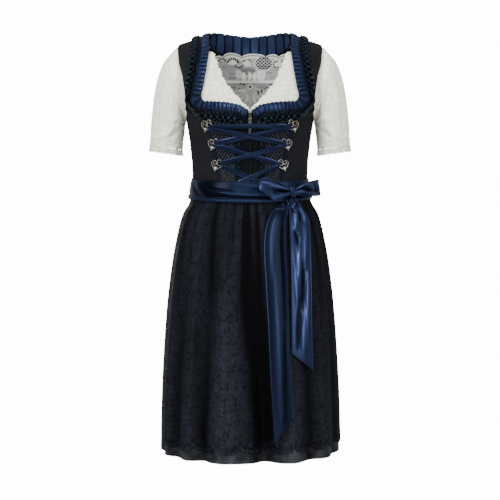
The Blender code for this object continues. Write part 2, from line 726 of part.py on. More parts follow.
def spaced(places, back, count=None, pitch=None):
    """Places along a line on the form, at even distances; also the number of pitches."""
    corners = np.asarray(places, float)
    legs = np.concatenate([[0.0], np.cumsum(np.linalg.norm(np.diff(corners, axis=0), axis=1))])
    along = np.linspace(0.0, 1.0, LINE_POINTS) ** 2 * legs[-1]
    x, height = np.interp(along, legs, corners[:, 0]), np.interp(along, legs, corners[:, 1])
    points = laid(angle_at(x, height, back), height, TRIM_BASE)
    run = np.concatenate([[0.0], np.cumsum(np.linalg.norm(np.diff(points, axis=0), axis=1))])
    if count is None:
        count = 2 * round(run[-1] / pitch) + 1
    even = np.linspace(0.0, run[-1], count)
    return np.stack([np.interp(even, run, x), np.interp(even, run, height)], axis=1)


def beside(line, width):
    """A line moved sideways on the form by a width, away from the neckline."""
    ahead = np.gradient(line, axis=0)
    ahead /= np.linalg.norm(ahead, axis=1, keepdims=True)
    moved = line + np.stack([-ahead[:, 1], ahead[:, 0]], axis=1) * np.reshape(width, (-1, 1))
    moved[:, 0] = np.minimum(moved[:, 0], np.maximum(line[:, 0], TRIM_MOST_X))
    near_ridge = np.clip(-line[:, 1] / RIDGE_SHARE, 0.0, 1.0)
    moved[:, 1] = line[:, 1] + (moved[:, 1] - line[:, 1]) * near_ridge
    moved[:, 1] = np.minimum(moved[:, 1], 0.0)
    return moved


def strip(name, edges, outs, look, back=False, mirror=1.0, base=TRIM_BASE):
    """A narrow wall along lines on the form, each line with its own outs.

    Its inner face lies plain at the base, or follows the outer face where the base is None.
    """
    inner, outer = [], []
    apart = np.array([0.0, SEAM_GAP / 2 if back else -SEAM_GAP / 2, 0.0])
    for edge, out in zip(edges, outs):
        angle = angle_at(edge[:, 0], edge[:, 1], back)
        inside = out - STRIP_CLOTH if base is None else base
        inner.append(laid(angle, edge[:, 1], inside) + apart)
        outer.append(laid(angle, edge[:, 1], out) + apart)
    return wall(name, flipped(np.array(inner), mirror), flipped(np.array(outer), mirror), look)


def neck_line_front():
    """The front neckline from the shoulder ridge to the notch, as x and height."""
    side = FRONT_NECK_SIDE[::-1, ::-1]
    foot = FRONT_NECK_BOTTOM[-2:0:-1]
    return np.concatenate([side, foot, [[TRIM_END_X, TRIM_END_HEIGHT]]])


def neck_line_back():
    """Half of the back neckline, from the shoulder ridge to the centre, as x and height."""
    return BACK_NECK[::-1]


def build_neck_trims(looks):
    """Pleated ribbon, piping and ruche along the neckline, front and back."""
    for side, hand in ((-1.0, "left"), (1.0, "right")):
        pleated = spaced(neck_line_front(), False, pitch=PLEAT_PITCH_FRONT)
        lift = TRIM_BASE + STRIP_CLOTH + PLEAT_RISE * (np.arange(len(pleated)) % 2)
        strip(f"neck_pleats_{hand}", [beside(pleated, width) for width in PLEATS_BAND],
              [lift, lift], looks["satin"], mirror=side)
        cord = pleated[::2]
        strip(f"neck_piping_{hand}", [beside(cord, width) for width in PIPING_BAND],
              [np.full(len(cord), TRIM_BASE + PIPING_HIGH)] * 2, looks["satin"], mirror=side)
        ruche(f"neck_ruche_{hand}", cord, RUCHE_BAND, looks["ruche"], mirror=side,
              base=NECK_RUCHE_BASE)
        straight = np.array([(CENTRE_RUCHE_X, CENTRE_RUCHE_TOP), (CENTRE_RUCHE_X, CENTRE_RUCHE_FOOT)])
        centre = spaced(straight, False, pitch=RUCHE_PITCH)
        ruche(f"centre_ruche_{hand}", centre, (-CENTRE_RUCHE_HALF, CENTRE_RUCHE_HALF),
              looks["ruche"], mirror=side)
        seam = PRINCESS[PRINCESS[:, 0] < PIPING_TOP][:, ::-1]
        seam = np.concatenate([seam, [[column(PRINCESS, PIPING_TOP), PIPING_TOP]]])
        seam = spaced(seam, False, count=SEAM_PIPING_POINTS)
        strip(f"princess_piping_{hand}", [beside(seam, -PIPING_HALF), beside(seam, PIPING_HALF)],
              [np.full(len(seam), TRIM_BASE + PIPING_HIGH)] * 2, looks["satin"], mirror=side)
    whole_back = both_halves(spaced(neck_line_back(), True, pitch=PLEAT_PITCH_BACK))
    standing = whole_back.copy()
    stand_top = column(BACK_STAND, np.abs(whole_back[:, 0]))
    standing[:, 1] = np.maximum(whole_back[:, 1], nominal(whole_back[:, 0], stand_top))
    share = np.abs(whole_back[:, 0]) / BACK_NECK[-1, 0]
    sewn = beside(whole_back, BACK_SEWN + (PLEATS_BAND[1] - BACK_SEWN) * share ** 2)
    edges = [standing + (sewn - standing) * down for down in np.linspace(0.0, 1.0, BACK_ROWS)]
    lift = TRIM_BASE + BACK_STAND_OUT + STRIP_CLOTH
    lift = lift + PLEAT_RISE * (np.arange(len(whole_back)) % 2)
    strip("neck_pleats_back", edges, [lift] * BACK_ROWS, looks["satin"], back=True, base=None)
    strip("neck_piping_back", [beside(whole_back, width) for width in PIPING_BAND],
          [np.full(len(whole_back), TRIM_BASE + PIPING_HIGH)] * 2, looks["satin"], back=True)
    ruche("neck_ruche_back", whole_back, RUCHE_BAND, looks["ruche"], back=True,
          base=NECK_RUCHE_BASE)


def both_halves(half):
    """A whole line across the back from its +X half, which ends at the centre."""
    return np.concatenate([half, (half * np.array([-1.0, 1.0]))[-2::-1]])


def ruche(name, line, band, look, back=False, mirror=1.0, base=TRIM_BASE):
    """A frog-mouth ruche: its edges and its middle rise in turn along the ribbon."""
    step = np.arange(len(line)) % 2
    near, far = band
    wave = RUCHE_WAVE * step
    edges = [beside(line, near + wave), beside(line, (near + far) / 2), beside(line, far - wave)]
    edge = base + RUCHE_LOW + (RUCHE_HIGH - RUCHE_LOW) * step
    middle = base + RUCHE_LOW + (RUCHE_HIGH - RUCHE_LOW) * (1 - step)
    return strip(name, edges, [edge, middle, edge], look, back, mirror, base)


def build_hooks(looks):
    """Six pierced lacing hooks beside the princess seams."""
    for side, hand in ((-1.0, "left"), (1.0, "right")):
        for number, (x, height) in enumerate(HOOKS, start=1):
            turn = 2.0 * math.pi * np.arange(HOOK_LOBES * 3) / (HOOK_LOBES * 3)
            outer = HOOK_RADIUS * (1.0 + HOOK_LOBE_RISE * np.cos(HOOK_LOBES * turn))
            rings = []
            for radius in (np.full(len(turn), HOOK_EYE), outer):
                ring_x = x + radius * np.sin(turn)
                ring_height = height + radius * np.cos(turn)
                angle = angle_at(ring_x, ring_height)
                rings.append([laid(angle, ring_height, out) for out in HOOK_OUT])
            inner = np.array([rings[0][0], rings[1][0]])
            outer = np.array([rings[0][1], rings[1][1]])
            wall(f"hook_{hand}_{number}", flipped(inner, side), flipped(outer, side),
                 looks["metal"], closed=True)


def build_lacing(looks):
    """The ribbon that crosses the front from hook to hook."""
    for name, x0, height0, x1, height1, out0, out1 in LACING:
        share = np.linspace(0.0, 1.0, LACING_POINTS)
        line = np.stack([x0 + (x1 - x0) * share, height0 + (height1 - height0) * share], axis=1)
        out = out0 + (out1 - out0) * share
        inner, outer = [], []
        for width in (-LACE_WIDTH / 2, LACE_WIDTH / 2):
            edge = beside(line, width)
            angle = angle_at(edge[:, 0], edge[:, 1])
            inner.append(laid(angle, edge[:, 1], out))
            outer.append(laid(angle, edge[:, 1], out + LACE_CLOTH))
        wall(name, np.array(inner), np.array(outer), looks["satin"])


def prism(name, outline, low, high, look):
    """A solid with an outline in x and y between two heights."""
    count = len(outline)
    points = [(x, y, z) for z in (low, high) for x, y in outline]
    faces = [list(range(count))[::-1], list(range(count, 2 * count))]
    faces += [(here, (here + 1) % count, count + (here + 1) % count, count + here)
              for here in range(count)]
    return add_object(name, points, faces, look, smooth=False)


def build_zip(looks):
    """The zip's chain, its slider and the pull tab on its own hinge."""
    heights = np.linspace(ZIP_FOOT, ZIP_TOP, 8)[:, None] * np.ones(2)
    angles = angle_at(np.array([-ZIP_CHAIN_HALF, ZIP_CHAIN_HALF]) * np.ones((8, 1)), heights)
    wall("zip_chain", laid(angles, heights, ZIP_CHAIN_OUT[0]),
         laid(angles, heights, ZIP_CHAIN_OUT[1]), looks["metal"])
    face = zip_face()
    slider = [
        (-SLIDER_HALF, SLIDER_OUT[0]), (SLIDER_HALF, SLIDER_OUT[0]), (SLIDER_HALF, EAR_OUT),
        (EAR_HALF, EAR_OUT), (EAR_HALF, SLIDER_OUT[1]), (-EAR_HALF, SLIDER_OUT[1]),
        (-EAR_HALF, EAR_OUT), (-SLIDER_HALF, EAR_OUT),
    ]
    prism("zip_slider", [(x, face - out) for x, out in slider], SLIDER_FOOT, SLIDER_TOP,
          looks["metal"])
    hinge = bpy.data.objects.new("pull_tab_hinge", None)
    hinge.location = (0.0, face - HINGE_OUT, HINGE_HEIGHT)
    bpy.context.scene.collection.objects.link(hinge)
    outline = [(-TAB_HALF, -TAB_THICKNESS / 2), (TAB_HALF, -TAB_THICKNESS / 2),
               (TAB_HALF, TAB_THICKNESS / 2), (-TAB_HALF, TAB_THICKNESS / 2)]
    tab = prism("zip_pull_tab", outline, TAB_FOOT - HINGE_HEIGHT, TAB_THICKNESS / 2, looks["metal"])
    tab.parent = hinge


def zip_face():
    """How far forward the form lies at the slider."""
    return float(form(0.0, HINGE_HEIGHT)[1])


def fold_relief(degrees, share, spread=0.0):
    """How far the falling folds stand out at an angle and a share of the way to the hem."""
    relief = np.zeros(np.broadcast(degrees, share).shape)
    for centre, half, rise, lean, start in FOLDS:
        off = degrees - (centre - lean * (1.0 - share))
        off = (off + 180.0) % 360.0 - 180.0
        off = np.sign(off) * np.maximum(np.abs(off) - spread, 0.0)
        if spread and rise < 0.0:
            continue
        relief = relief + rise * share ** start * np.exp(-(off / half) ** 2)
    return relief


def skirt_points(degrees, height, more=0.0, spread=0.0):
    """Outer points of the skirt at angles and heights, moved out by a little more."""
    degrees, height = np.broadcast_arrays(np.asarray(degrees, float), np.asarray(height, float))
    turn = np.radians(degrees)
    power = 2.0 / column(SKIRT_LEVELS, height, value=4)
    top, foot = SKIRT_LEVELS[0, 0], SKIRT_LEVELS[-1, 0]
    share = np.clip((top - height) / (top - foot), 0.0, 1.0)
    out = fold_relief(degrees, share, spread) + more
    wide = column(SKIRT_LEVELS, height) + out
    deep = np.where(np.cos(turn) > 0, column(SKIRT_LEVELS, height, value=2),
                    column(SKIRT_LEVELS, height, value=3)) + out
    x = wide * np.sign(np.sin(turn)) * np.abs(np.sin(turn)) ** power
    y = -deep * np.sign(np.cos(turn)) * np.abs(np.cos(turn)) ** power
    return np.stack([x, y, height], axis=-1)


def skirt_grid():
    """Outer points of the whole skirt: a row for each level, a column every few degrees."""
    columns = np.arange(SKIRT_COLUMNS)
    degrees = 360.0 * columns / SKIRT_COLUMNS
    heights = SKIRT_LEVELS[:, 0]
    share = (heights[0] - heights) / (heights[0] - heights[-1])
    gather = np.clip(1.0 - share / GATHER_FADE, 0.0, 1.0)[:, None] * SKIRT_GATHER
    gather = gather * np.where(columns % 2, 1.0, -1.0)
    return skirt_points(degrees[None, :], heights[:, None], gather)


def build_skirt(looks):
    """The gathered skirt, cut in a front and a back that meet at the side seams."""
    outer = skirt_grid()
    inner = outer - outward(outer, closed=True) * SKIRT_CLOTH
    quarter = SKIRT_COLUMNS // 4
    for name, first in (("skirt_front", -quarter), ("skirt_back", quarter)):
        columns = np.arange(first, first + 2 * quarter + 1) % SKIRT_COLUMNS
        apart = np.array([0.0, SEAM_GAP / 2 if first > 0 else -SEAM_GAP / 2, 0.0])
        wall(name, inner[:, columns] + apart, outer[:, columns] + apart, looks["skirt"])


def build_apron(looks):
    """The lace apron, which follows the skirt's points and ends in scallops."""
    skirt = skirt_grid()
    normals = outward(skirt, closed=True)
    heights = SKIRT_LEVELS[:, 0]
    rows = len(heights)
    share = (heights[0] - heights) / (heights[0] - heights[-1])
    count = 2 * APRON_SPANS + 1
    inner, outer = np.empty((rows, count, 3)), np.empty((rows, count, 3))
    for place in range(count):
        here = APRON_FIRST + place / 2.0
        low, part = math.floor(here), here - math.floor(here)
        left, right = low % SKIRT_COLUMNS, (low + 1) % SKIRT_COLUMNS
        base = skirt[:, left] * (1.0 - part) + skirt[:, right] * part
        away = normals[:, left] * (1.0 - part) + normals[:, right] * part
        away /= np.linalg.norm(away, axis=1, keepdims=True)
        wave = abs(math.sin(math.pi * place / COLUMNS_PER_SCALLOP))
        lift = APRON_HEM_RISE + APRON_SCALLOP_DEPTH * (1.0 - math.sqrt(wave))
        part_way = 1.0 - lift / (heights[-2] - heights[-1])
        base[-1] = base[-2] + (base[-1] - base[-2]) * part_way
        gap = APRON_TOP_GAP + (APRON_HEM_GAP - APRON_TOP_GAP) * share
        fade = np.clip(1.0 - share / (2.0 * GATHER_FADE), 0.0, 1.0)
        gap = gap + APRON_GATHER * (place % 2) * fade
        inner[:, place] = base + away * gap[:, None]
        outer[:, place] = base + away * (gap + APRON_CLOTH)[:, None]
    front = np.array([0.0, -SEAM_GAP / 2, 0.0])
    wall("apron", inner + front, outer + front, looks["apron"])


def build_sash(looks):
    """The satin apron band, wound round the waist."""
    turn = 2.0 * math.pi * np.arange(SASH_COLUMNS) / SASH_COLUMNS
    ahead = np.maximum(np.cos(turn), 0.0)
    inner, outer = [], []
    for share, out, more in SASH_SECTION:
        top = SASH_TOP_SIDE + (SASH_TOP_FRONT - SASH_TOP_SIDE) * ahead
        foot = SASH_FOOT_SIDE + (SASH_FOOT_FRONT - SASH_FOOT_SIDE) * ahead
        height = top + (foot - top) * share
        lie = out + more * ahead
        inner.append(laid(turn, height, lie))
        outer.append(laid(turn, height, lie + SASH_CLOTH))
    wall("sash", np.array(inner), np.array(outer), looks["satin"], closed=True)


def smooth_rows(table, count):
    """Rows of a table read along a smooth curve through them."""
    steps = len(table) - 1
    padded = np.concatenate([[2 * table[0] - table[1]], table, [2 * table[-1] - table[-2]]])
    rows = []
    for at in np.linspace(0.0, steps, count):
        here = min(int(at), steps - 1)
        t = at - here
        a, b, c, d = padded[here:here + 4]
        rows.append(0.5 * (2 * b + (c - a) * t + (2 * a - 5 * b + 4 * c - d) * t ** 2
                           + (3 * b - a - 3 * c + d) * t ** 3))
    return np.array(rows)


def build_bow(looks):
    """The bow beside the front: two loops, the knot and two tails."""
    for name, table in (("bow_loop_left", LEFT_LOOP), ("bow_loop_right", RIGHT_LOOP)):
        rows = smooth_rows(table, LOOP_STEPS)
        grid = []
        for across in (-1.0, 0.0, 1.0):
            height = rows[:, 1] + across * rows[:, 3]
            grid.append(laid(np.radians(rows[:, 0]), height, rows[:, 2]))
        grid = np.array(grid)
        normal = grid_normals(grid)
        wall(name, grid - normal * LOOP_CLOTH / 2, grid + normal * LOOP_CLOTH / 2, looks["satin"])
    centre = laid(math.radians(KNOT_DEGREES), KNOT_HEIGHT, KNOT_OUT)
    build = bmesh.new()
    bmesh.ops.create_uvsphere(build, u_segments=KNOT_ROUND, v_segments=KNOT_UP, radius=1.0)
    points = [centre + np.array(vert.co) * KNOT_HALF for vert in build.verts]
    faces = [[vert.index for vert in face.verts] for face in build.faces]
    build.free()
    add_object("bow_knot", points, faces, looks["satin"])
    build_tail("bow_tail_long", LONG_TAIL, looks["satin"])
    build_tail("bow_tail_short", SHORT_TAIL, looks["satin"])


def build_tail(name, table, look):
    """A bow tail that hangs in front of the apron's folds."""
    grid = np.empty((len(table), TAIL_COLUMNS, 3))
    for row, (left_x, left_z, right_x, right_z) in enumerate(table):
        for place, across in enumerate(np.linspace(0.0, 1.0, TAIL_COLUMNS)):
            x, height = left_x + (right_x - left_x) * across, left_z + (right_z - left_z) * across
            grid[row, place] = tail_point(x, height, TAIL_RIPPLE * (place % 2))
    normal = grid_normals(grid)
    if normal[..., 1].mean() > 0:
        normal = -normal
    wall(name, grid, grid + normal * TAIL_CLOTH, look)


def tail_point(x, height, more):
    """A point of a tail, clear of the sash and of the folds beside it."""
    outline = skirt_points(np.linspace(0.0, 85.0, 86), height, TAIL_CLEAR + more, TAIL_SPREAD)
    clear = float(np.interp(x, outline[:, 0], outline[:, 1]))
    sash_out = SASH_SECTION[-1, 1] + TAIL_CLEAR + TAIL_OVER_SASH
    sash = laid(angle_at(x, SASH_FOOT_FRONT), SASH_FOOT_FRONT, sash_out)[1]
    past = max(0.0, SASH_FOOT_FRONT - height)
    return np.array([x, min(clear, sash - more + past * TAIL_SPRING), height])


def build_looks():
    """The materials of the set."""
    return {
        "bodice": finish("bodice_cloth", (0.012, 0.014, 0.021), 0.75),
        "brocade": finish("centre_brocade", (0.020, 0.020, 0.030), 0.65),
        "blouse": finish("blouse_cotton", (0.78, 0.78, 0.73), 0.85),
        "lace": finish("blouse_lace", (0.62, 0.63, 0.62), 0.85),
        "satin": finish("satin", (0.021, 0.045, 0.140), 0.35),
        "ruche": finish("ruche_ribbon", (0.006, 0.022, 0.040), 0.55),
        "skirt": finish("skirt_jacquard", (0.008, 0.010, 0.020), 0.70),
        "apron": finish("apron_lace", (0.006, 0.008, 0.022), 0.80),
        "metal": finish("antique_silver", (0.45, 0.42, 0.36), 0.40, 1.0),
    }


def main():
    """Build the whole set."""
    clear_scene()
    looks = build_looks()
    build_bodice(looks)
    build_blouse(looks)
    build_sleeves(looks)
    build_neck_trims(looks)
    build_hooks(looks)
    build_lacing(looks)
    build_zip(looks)
    build_skirt(looks)
    build_apron(looks)
    build_sash(looks)
    build_bow(looks)


main()
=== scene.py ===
"""The looks of a laced dirndl with its lace apron, satin sash bow and lace blouse.

Metres, +Z up, the front towards -Y. Each piece of cloth is a thin shell that lies on the
form of its own solid, with its creases, gathers and pleats laid in.
"""

import enum
import logging
import math
from dataclasses import dataclass, field

import bmesh
import bpy
import numpy as np
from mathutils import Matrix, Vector


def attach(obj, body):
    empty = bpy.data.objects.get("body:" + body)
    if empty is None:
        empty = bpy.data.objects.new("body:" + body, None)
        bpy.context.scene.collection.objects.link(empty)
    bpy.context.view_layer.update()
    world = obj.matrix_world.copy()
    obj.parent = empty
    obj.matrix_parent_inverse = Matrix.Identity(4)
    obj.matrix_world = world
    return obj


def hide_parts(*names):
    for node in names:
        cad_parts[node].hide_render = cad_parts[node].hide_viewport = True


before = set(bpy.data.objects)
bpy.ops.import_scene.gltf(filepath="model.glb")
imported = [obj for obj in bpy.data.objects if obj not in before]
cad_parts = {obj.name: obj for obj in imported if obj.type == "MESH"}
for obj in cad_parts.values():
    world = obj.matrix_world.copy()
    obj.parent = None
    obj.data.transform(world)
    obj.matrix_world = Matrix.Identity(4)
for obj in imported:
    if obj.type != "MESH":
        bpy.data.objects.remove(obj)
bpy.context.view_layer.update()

LOG = logging.getLogger("dirndl")
GARMENT = "garment"
# The least share of its flat piece that a sheet states as its area.
LEAST_AREA = 0.31
# The least angle at which two faces of cloth meet in a sharp edge.
CLOTH_EDGE = math.radians(60.0)
Array = np.ndarray
Socket = bpy.types.NodeSocket
Build = bmesh.types.BMesh
Rows = tuple[tuple[float, ...], ...]
Pair = tuple[float, float]
Triple = tuple[float, float, float]
Colour = Triple


class Side(enum.Enum):
    """The two halves of the set, as the front view shows them."""

    LEFT = -1.0
    RIGHT = 1.0

    @property
    def hand(self) -> str:
        """The word that the names of the pieces carry."""
        return self.name.lower()


class Held(enum.Enum):
    """The ways in which a piece of cloth is held."""

    HUNG = "hung"
    GATHERED = "gathered"
    STRETCHED = "stretched"
    FOLDED = "folded"


def column(rows: Rows, at: Array, key: int = 0, value: int = 1) -> Array:
    """Read one column of a table at values of another column.

    Args:
        rows: The table, a row of numbers for each level.
        at: Values of the key column.
        key: The column that is looked up.
        value: The column that is read.

    Returns:
        The values between the rows.
    """
    table = np.array(rows)
    table = table[np.argsort(table[:, key])]
    return np.interp(at, table[:, key], table[:, value])


def bell(off: Array) -> Array:
    """A soft bump of height one over a distance from its middle."""
    return np.exp(-off ** 2)


def shares(count: int) -> Array:
    """Even shares from zero to one."""
    return np.linspace(0.0, 1.0, count)


def about(degrees: Array) -> Array:
    """Angles brought between -180 and 180 degrees."""
    return (degrees + 180.0) % 360.0 - 180.0


def distances(points: Array) -> Array:
    """How far along a line each of its points lies."""
    steps = np.linalg.norm(np.diff(points, axis=0), axis=1)
    return np.concatenate([[0.0], steps.cumsum()])


def softened(places: Array) -> Array:
    """A line with its sharp turns softened, a mean over nine neighbours."""
    return np.stack([np.convolve(np.pad(part, 4, mode="edge"), np.ones(9) / 9.0, "valid")
                     for part in places.T], axis=1)


def creases(rows: Rows, along: Array, down: Array) -> Array:
    """Relief of soft creases on a piece of cloth.

    Args:
        rows: For each crease its start along and down, its end along and down, its half
            width and its height, which is negative for a trough.
        along: Flat places along the cloth.
        down: Flat places down the cloth.

    Returns:
        How far the cloth stands out at each place.
    """
    relief = np.zeros(np.broadcast(along, down).shape)
    for along0, down0, along1, down1, half, height in rows:
        run = np.array([along1 - along0, down1 - down0])
        length = max(float(np.hypot(*run)), 1e-6)
        share = ((along - along0) * run[0] + (down - down0) * run[1]) / length ** 2
        held = np.clip(share, 0.0, 1.0)
        off = np.hypot(along - along0 - held * run[0], down - down0 - held * run[1])
        taper = np.sin(math.pi * np.clip(share, 0.06, 0.94)) ** 0.5
        relief = relief + height * taper * bell(off / half)
    return relief


def smooth_rows(rows: Rows, count: int) -> Array:
    """Read a table along a smooth curve through its rows.

    Args:
        rows: The table.
        count: How many rows to give back.

    Returns:
        The rows of the curve.
    """
    table = np.array(rows)
    steps = len(table) - 1
    padded = np.concatenate([[2 * table[0] - table[1]], table, [2 * table[-1] - table[-2]]])
    curve = []
    for at in np.linspace(0.0, steps, count):
        here = min(int(at), steps - 1)
        t = at - here
        a, b, c, d = padded[here:here + 4]
        curve.append(0.5 * (2 * b + (c - a) * t + (2 * a - 5 * b + 4 * c - d) * t ** 2
                            + (3 * b - a - 3 * c + d) * t ** 3))
    return np.array(curve)


def grid_normals(grid: Array, closed: bool = False) -> Array:
    """Unit normals of a grid of points.

    Args:
        grid: Points in rows and columns.
        closed: Whether the columns go all round.

    Returns:
        A normal for each point.
    """
    if closed:
        along = np.roll(grid, -1, axis=1) - np.roll(grid, 1, axis=1)
    else:
        along = np.gradient(grid, axis=1)
    normal = np.cross(along, np.gradient(grid, axis=0))
    return normal / np.maximum(np.linalg.norm(normal, axis=-1, keepdims=True), 1e-12)


def outward(grid: Array, closed: bool = False) -> Array:
    """Normals of a grid, turned away from its own middle line.

    Args:
        grid: Points in rows and columns.
        closed: Whether the columns go all round.

    Returns:
        A normal for each point.
    """
    normal = grid_normals(grid, closed)
    away = grid - grid.mean(axis=1, keepdims=True)
    return normal * np.sign((normal * away).sum(axis=-1).mean())


def flipped(grid: Array, side: Side) -> Array:
    """A grid of the right half, or its mirror image for the left half."""
    return grid * np.array([side.value, 1.0, 1.0])


def placed(name: str, data: bpy.types.ID) -> bpy.types.Object:
    """Put a mesh, a light or a camera in the scene.

    Args:
        name: The object's name.
        data: Its mesh, light or camera.

    Returns:
        The object.
    """
    piece = bpy.data.objects.new(name, data)
    bpy.context.scene.collection.objects.link(piece)
    return piece


def skin(build: Build, rings: list[list], closed: bool = False) -> None:
    """Lay faces over rings of points, with a cap at each end unless the rings close.

    Args:
        build: The mesh that gets the faces.
        rings: The points, ring by ring.
        closed: Whether the last ring joins the first.
    """
    pairs = list(zip(rings, rings[1:] + rings[:1]))
    for first, second in pairs if closed else pairs[:-1]:
        for here in range(len(first)):
            after = (here + 1) % len(first)
            build.faces.new((first[here], first[after], second[after], second[here]))
    if not closed:
        build.faces.new(rings[0][::-1])
        build.faces.new(rings[-1])


class Paint:
    """A material's node tree, with short ways to add nodes and to join them."""

    def __init__(self, name: str) -> None:
        """Start a material of that name with one Principled shader."""
        self.material = bpy.data.materials.new(name)
        self.material.use_nodes = True
        self.tree = self.material.node_tree
        self.shader = self.tree.nodes["Principled BSDF"]

    def set(self, **values: float | tuple[float, ...]) -> None:
        """Set sockets of the shader, named with underscores for spaces."""
        for name, value in values.items():
            self.shader.inputs[name.replace("_", " ")].default_value = value

    def node(self, kind: str, inputs: dict | None = None, **settings: object) -> bpy.types.Node:
        """Add a node.

        Args:
            kind: The node's type, without its ShaderNode prefix.
            inputs: Values or output sockets for its inputs, by name or by number.
            **settings: Values of the node's own properties.

        Returns:
            The node.
        """
        made = self.tree.nodes.new("ShaderNode" + kind)
        for name, value in settings.items():
            setattr(made, name, value)
        for name, value in (inputs or {}).items():
            self.feed(made.inputs[name], value)
        return made

    def feed(self, entry: Socket, value: object) -> None:
        """Give an input a value, or join it to another node's output.

        Args:
            entry: The input.
            value: A value or another node's output.
        """
        if isinstance(value, Socket):
            self.tree.links.new(value, entry)
        else:
            entry.default_value = value

    def math(self, operation: str, *values: object) -> Socket:
        """The result of a math node on numbers or sockets."""
        made = self.node("Math", dict(enumerate(values)), operation=operation)
        return made.outputs[0]

    def vector(self, operation: str, *values: object) -> Socket:
        """The vector result of a vector math node."""
        made = self.node("VectorMath", dict(enumerate(values)), operation=operation)
        return made.outputs[0]

    def cloth(self) -> Socket:
        """Flat places on the cloth in metres, along and down."""
        return self.node("UVMap", uv_map="cloth").outputs[0]

    def product(self, *values: object) -> Socket:
        """The product of two numbers or sockets."""
        return self.math("MULTIPLY", *values)

    def scaled(self, *values: object) -> Socket:
        """The first value times the second, plus the third."""
        return self.math("MULTIPLY_ADD", *values)

    def apart(self, *values: object) -> Socket:
        """How far two values lie from each other."""
        return self.math("ABSOLUTE", self.math("SUBTRACT", *values))

    def most(self, first: object, *others: object) -> Socket:
        """The greatest of some values.

        Args:
            first: A number or a socket.
            *others: More of them.

        Returns:
            The greatest, as a socket.
        """
        for other in others:
            first = self.math("MAXIMUM", first, other)
        return first

    def cells(self, pitch: float, shift: float = 0.0) -> Socket:
        """Places inside repeats of a square pattern, from -0.5 to 0.5.

        Args:
            pitch: Size of one repeat.
            shift: Shift of the pattern, as a share of a repeat.

        Returns:
            The vector from the middle of the repeat.
        """
        scaled = self.vector("MULTIPLY_ADD", self.cloth(), (1.0 / pitch,) * 3, (shift,) * 3)
        return self.vector("SUBTRACT", self.vector("FRACTION", scaled), (0.5, 0.5, 0.5))

    def light_and_pattern(self) -> Socket:
        """The piece's own drawn value: on most pieces painted light and shade, one on lit ridges,
        zero in shaded hollows and above one a painted highlight; on the lace back and the brocade,
        the pattern.
        """
        return self.node("Attribute", attribute_name="light_and_pattern").outputs["Fac"]

    def length(self, value: Socket) -> Socket:
        """The length of a vector's first two parts."""
        flat = self.vector("MULTIPLY", value, (1.0, 1.0, 0.0))
        return self.node("VectorMath", {0: flat}, operation="LENGTH").outputs["Value"]

    def band(self, value: object, low: float, high: float) -> Socket:
        """One below the low value and zero above the high one, soft between.

        Args:
            value: The value that is judged.
            low: Where the fall starts.
            high: Where it ends.

        Returns:
            The share, as a socket.
        """
        made = self.node("MapRange", {"Value": value, "From Min": low, "From Max": high,
                                      "To Min": 1.0, "To Max": 0.0})
        return made.outputs["Result"]

    def mix(self, share: object, low: object, high: object) -> Socket:
        """A mix of two colours.

        Args:
            share: How much of the second colour there is.
            low: The first colour.
            high: The second colour.

        Returns:
            The mixed colour, as a socket.
        """
        made = self.node("Mix", {"Factor": share}, data_type="RGBA")
        for entry, value in ((6, low), (7, high)):
            colour = value if isinstance(value, Socket) else (*value, 1.0)
            self.feed(made.inputs[entry], colour)
        return made.outputs[2]

    def noise(self, scale: float, detail: float = 3.0, vector: object = None,
              roughness: float = 0.55) -> Socket:
        """Soft noise over the cloth, by default in its flat places.

        Args:
            scale: How fine it is.
            detail: How many layers it has.
            vector: Where it is read.
            roughness: How strong the fine layers are.

        Returns:
            The noise, as a socket.
        """
        where = self.cloth() if vector is None else vector
        made = self.node("TexNoise", {"Vector": where, "Scale": scale, "Detail": detail,
                                      "Roughness": roughness})
        return made.outputs[0]

    def join(self, socket: Socket, name: str) -> None:
        """Lead a value to one of the shader's sockets."""
        self.tree.links.new(socket, self.shader.inputs[name])

    def bump(self, height: Socket, distance: float, strength: float = 1.0) -> None:
        """Give the surface a fine relief.

        Args:
            height: The relief.
            distance: Its height in metres.
            strength: How much of it shows.
        """
        made = self.node("Bump", {"Height": height, "Distance": distance, "Strength": strength})
        if self.shader.inputs["Normal"].is_linked:
            before = self.shader.inputs["Normal"].links[0].from_socket
            self.tree.links.new(before, made.inputs["Normal"])
        self.join(made.outputs[0], "Normal")

    def strewn(self, cell: float, spin: float) -> tuple[Socket, ...]:
        """Places strewn over the cloth, each turned its own way.

        Args:
            cell: Mean distance between two places.
            spin: How far they are turned at most.

        Returns:
            The vector from the nearest place, and the angle round it.
        """
        where = self.cloth()
        seeds = self.node("TexVoronoi", {"Vector": where, "Scale": 1.0 / cell, "Randomness": 0.55},
                          voronoi_dimensions="2D")
        off = self.vector("SUBTRACT", where, seeds.outputs["Position"])
        parts = self.node("SeparateXYZ", {0: off})
        turn = self.math("ARCTAN2", parts.outputs[1], parts.outputs[0])
        own = self.node("SeparateColor", {0: seeds.outputs["Color"]})
        return off, self.scaled(own.outputs[0], spin, turn)

    def flower_mask(self, cell: float, petal: float, petals: float) -> Socket:
        """Small full flowers strewn over the cloth.

        Args:
            cell: Mean distance between flowers.
            petal: Radius of a flower.
            petals: How many petals it has.

        Returns:
            One on a petal and zero beside it.
        """
        off, turned = self.strewn(cell, 6.28)
        wave = self.math("COSINE", self.product(turned, petals))
        reach = self.scaled(wave, petal * 0.28, petal * 0.72)
        edge = self.math("DIVIDE", self.length(off), reach)
        heart = self.band(self.apart(edge, 0.3), 0.05, 0.12)
        return self.math("SUBTRACT", self.band(edge, 0.88, 1.0), heart)

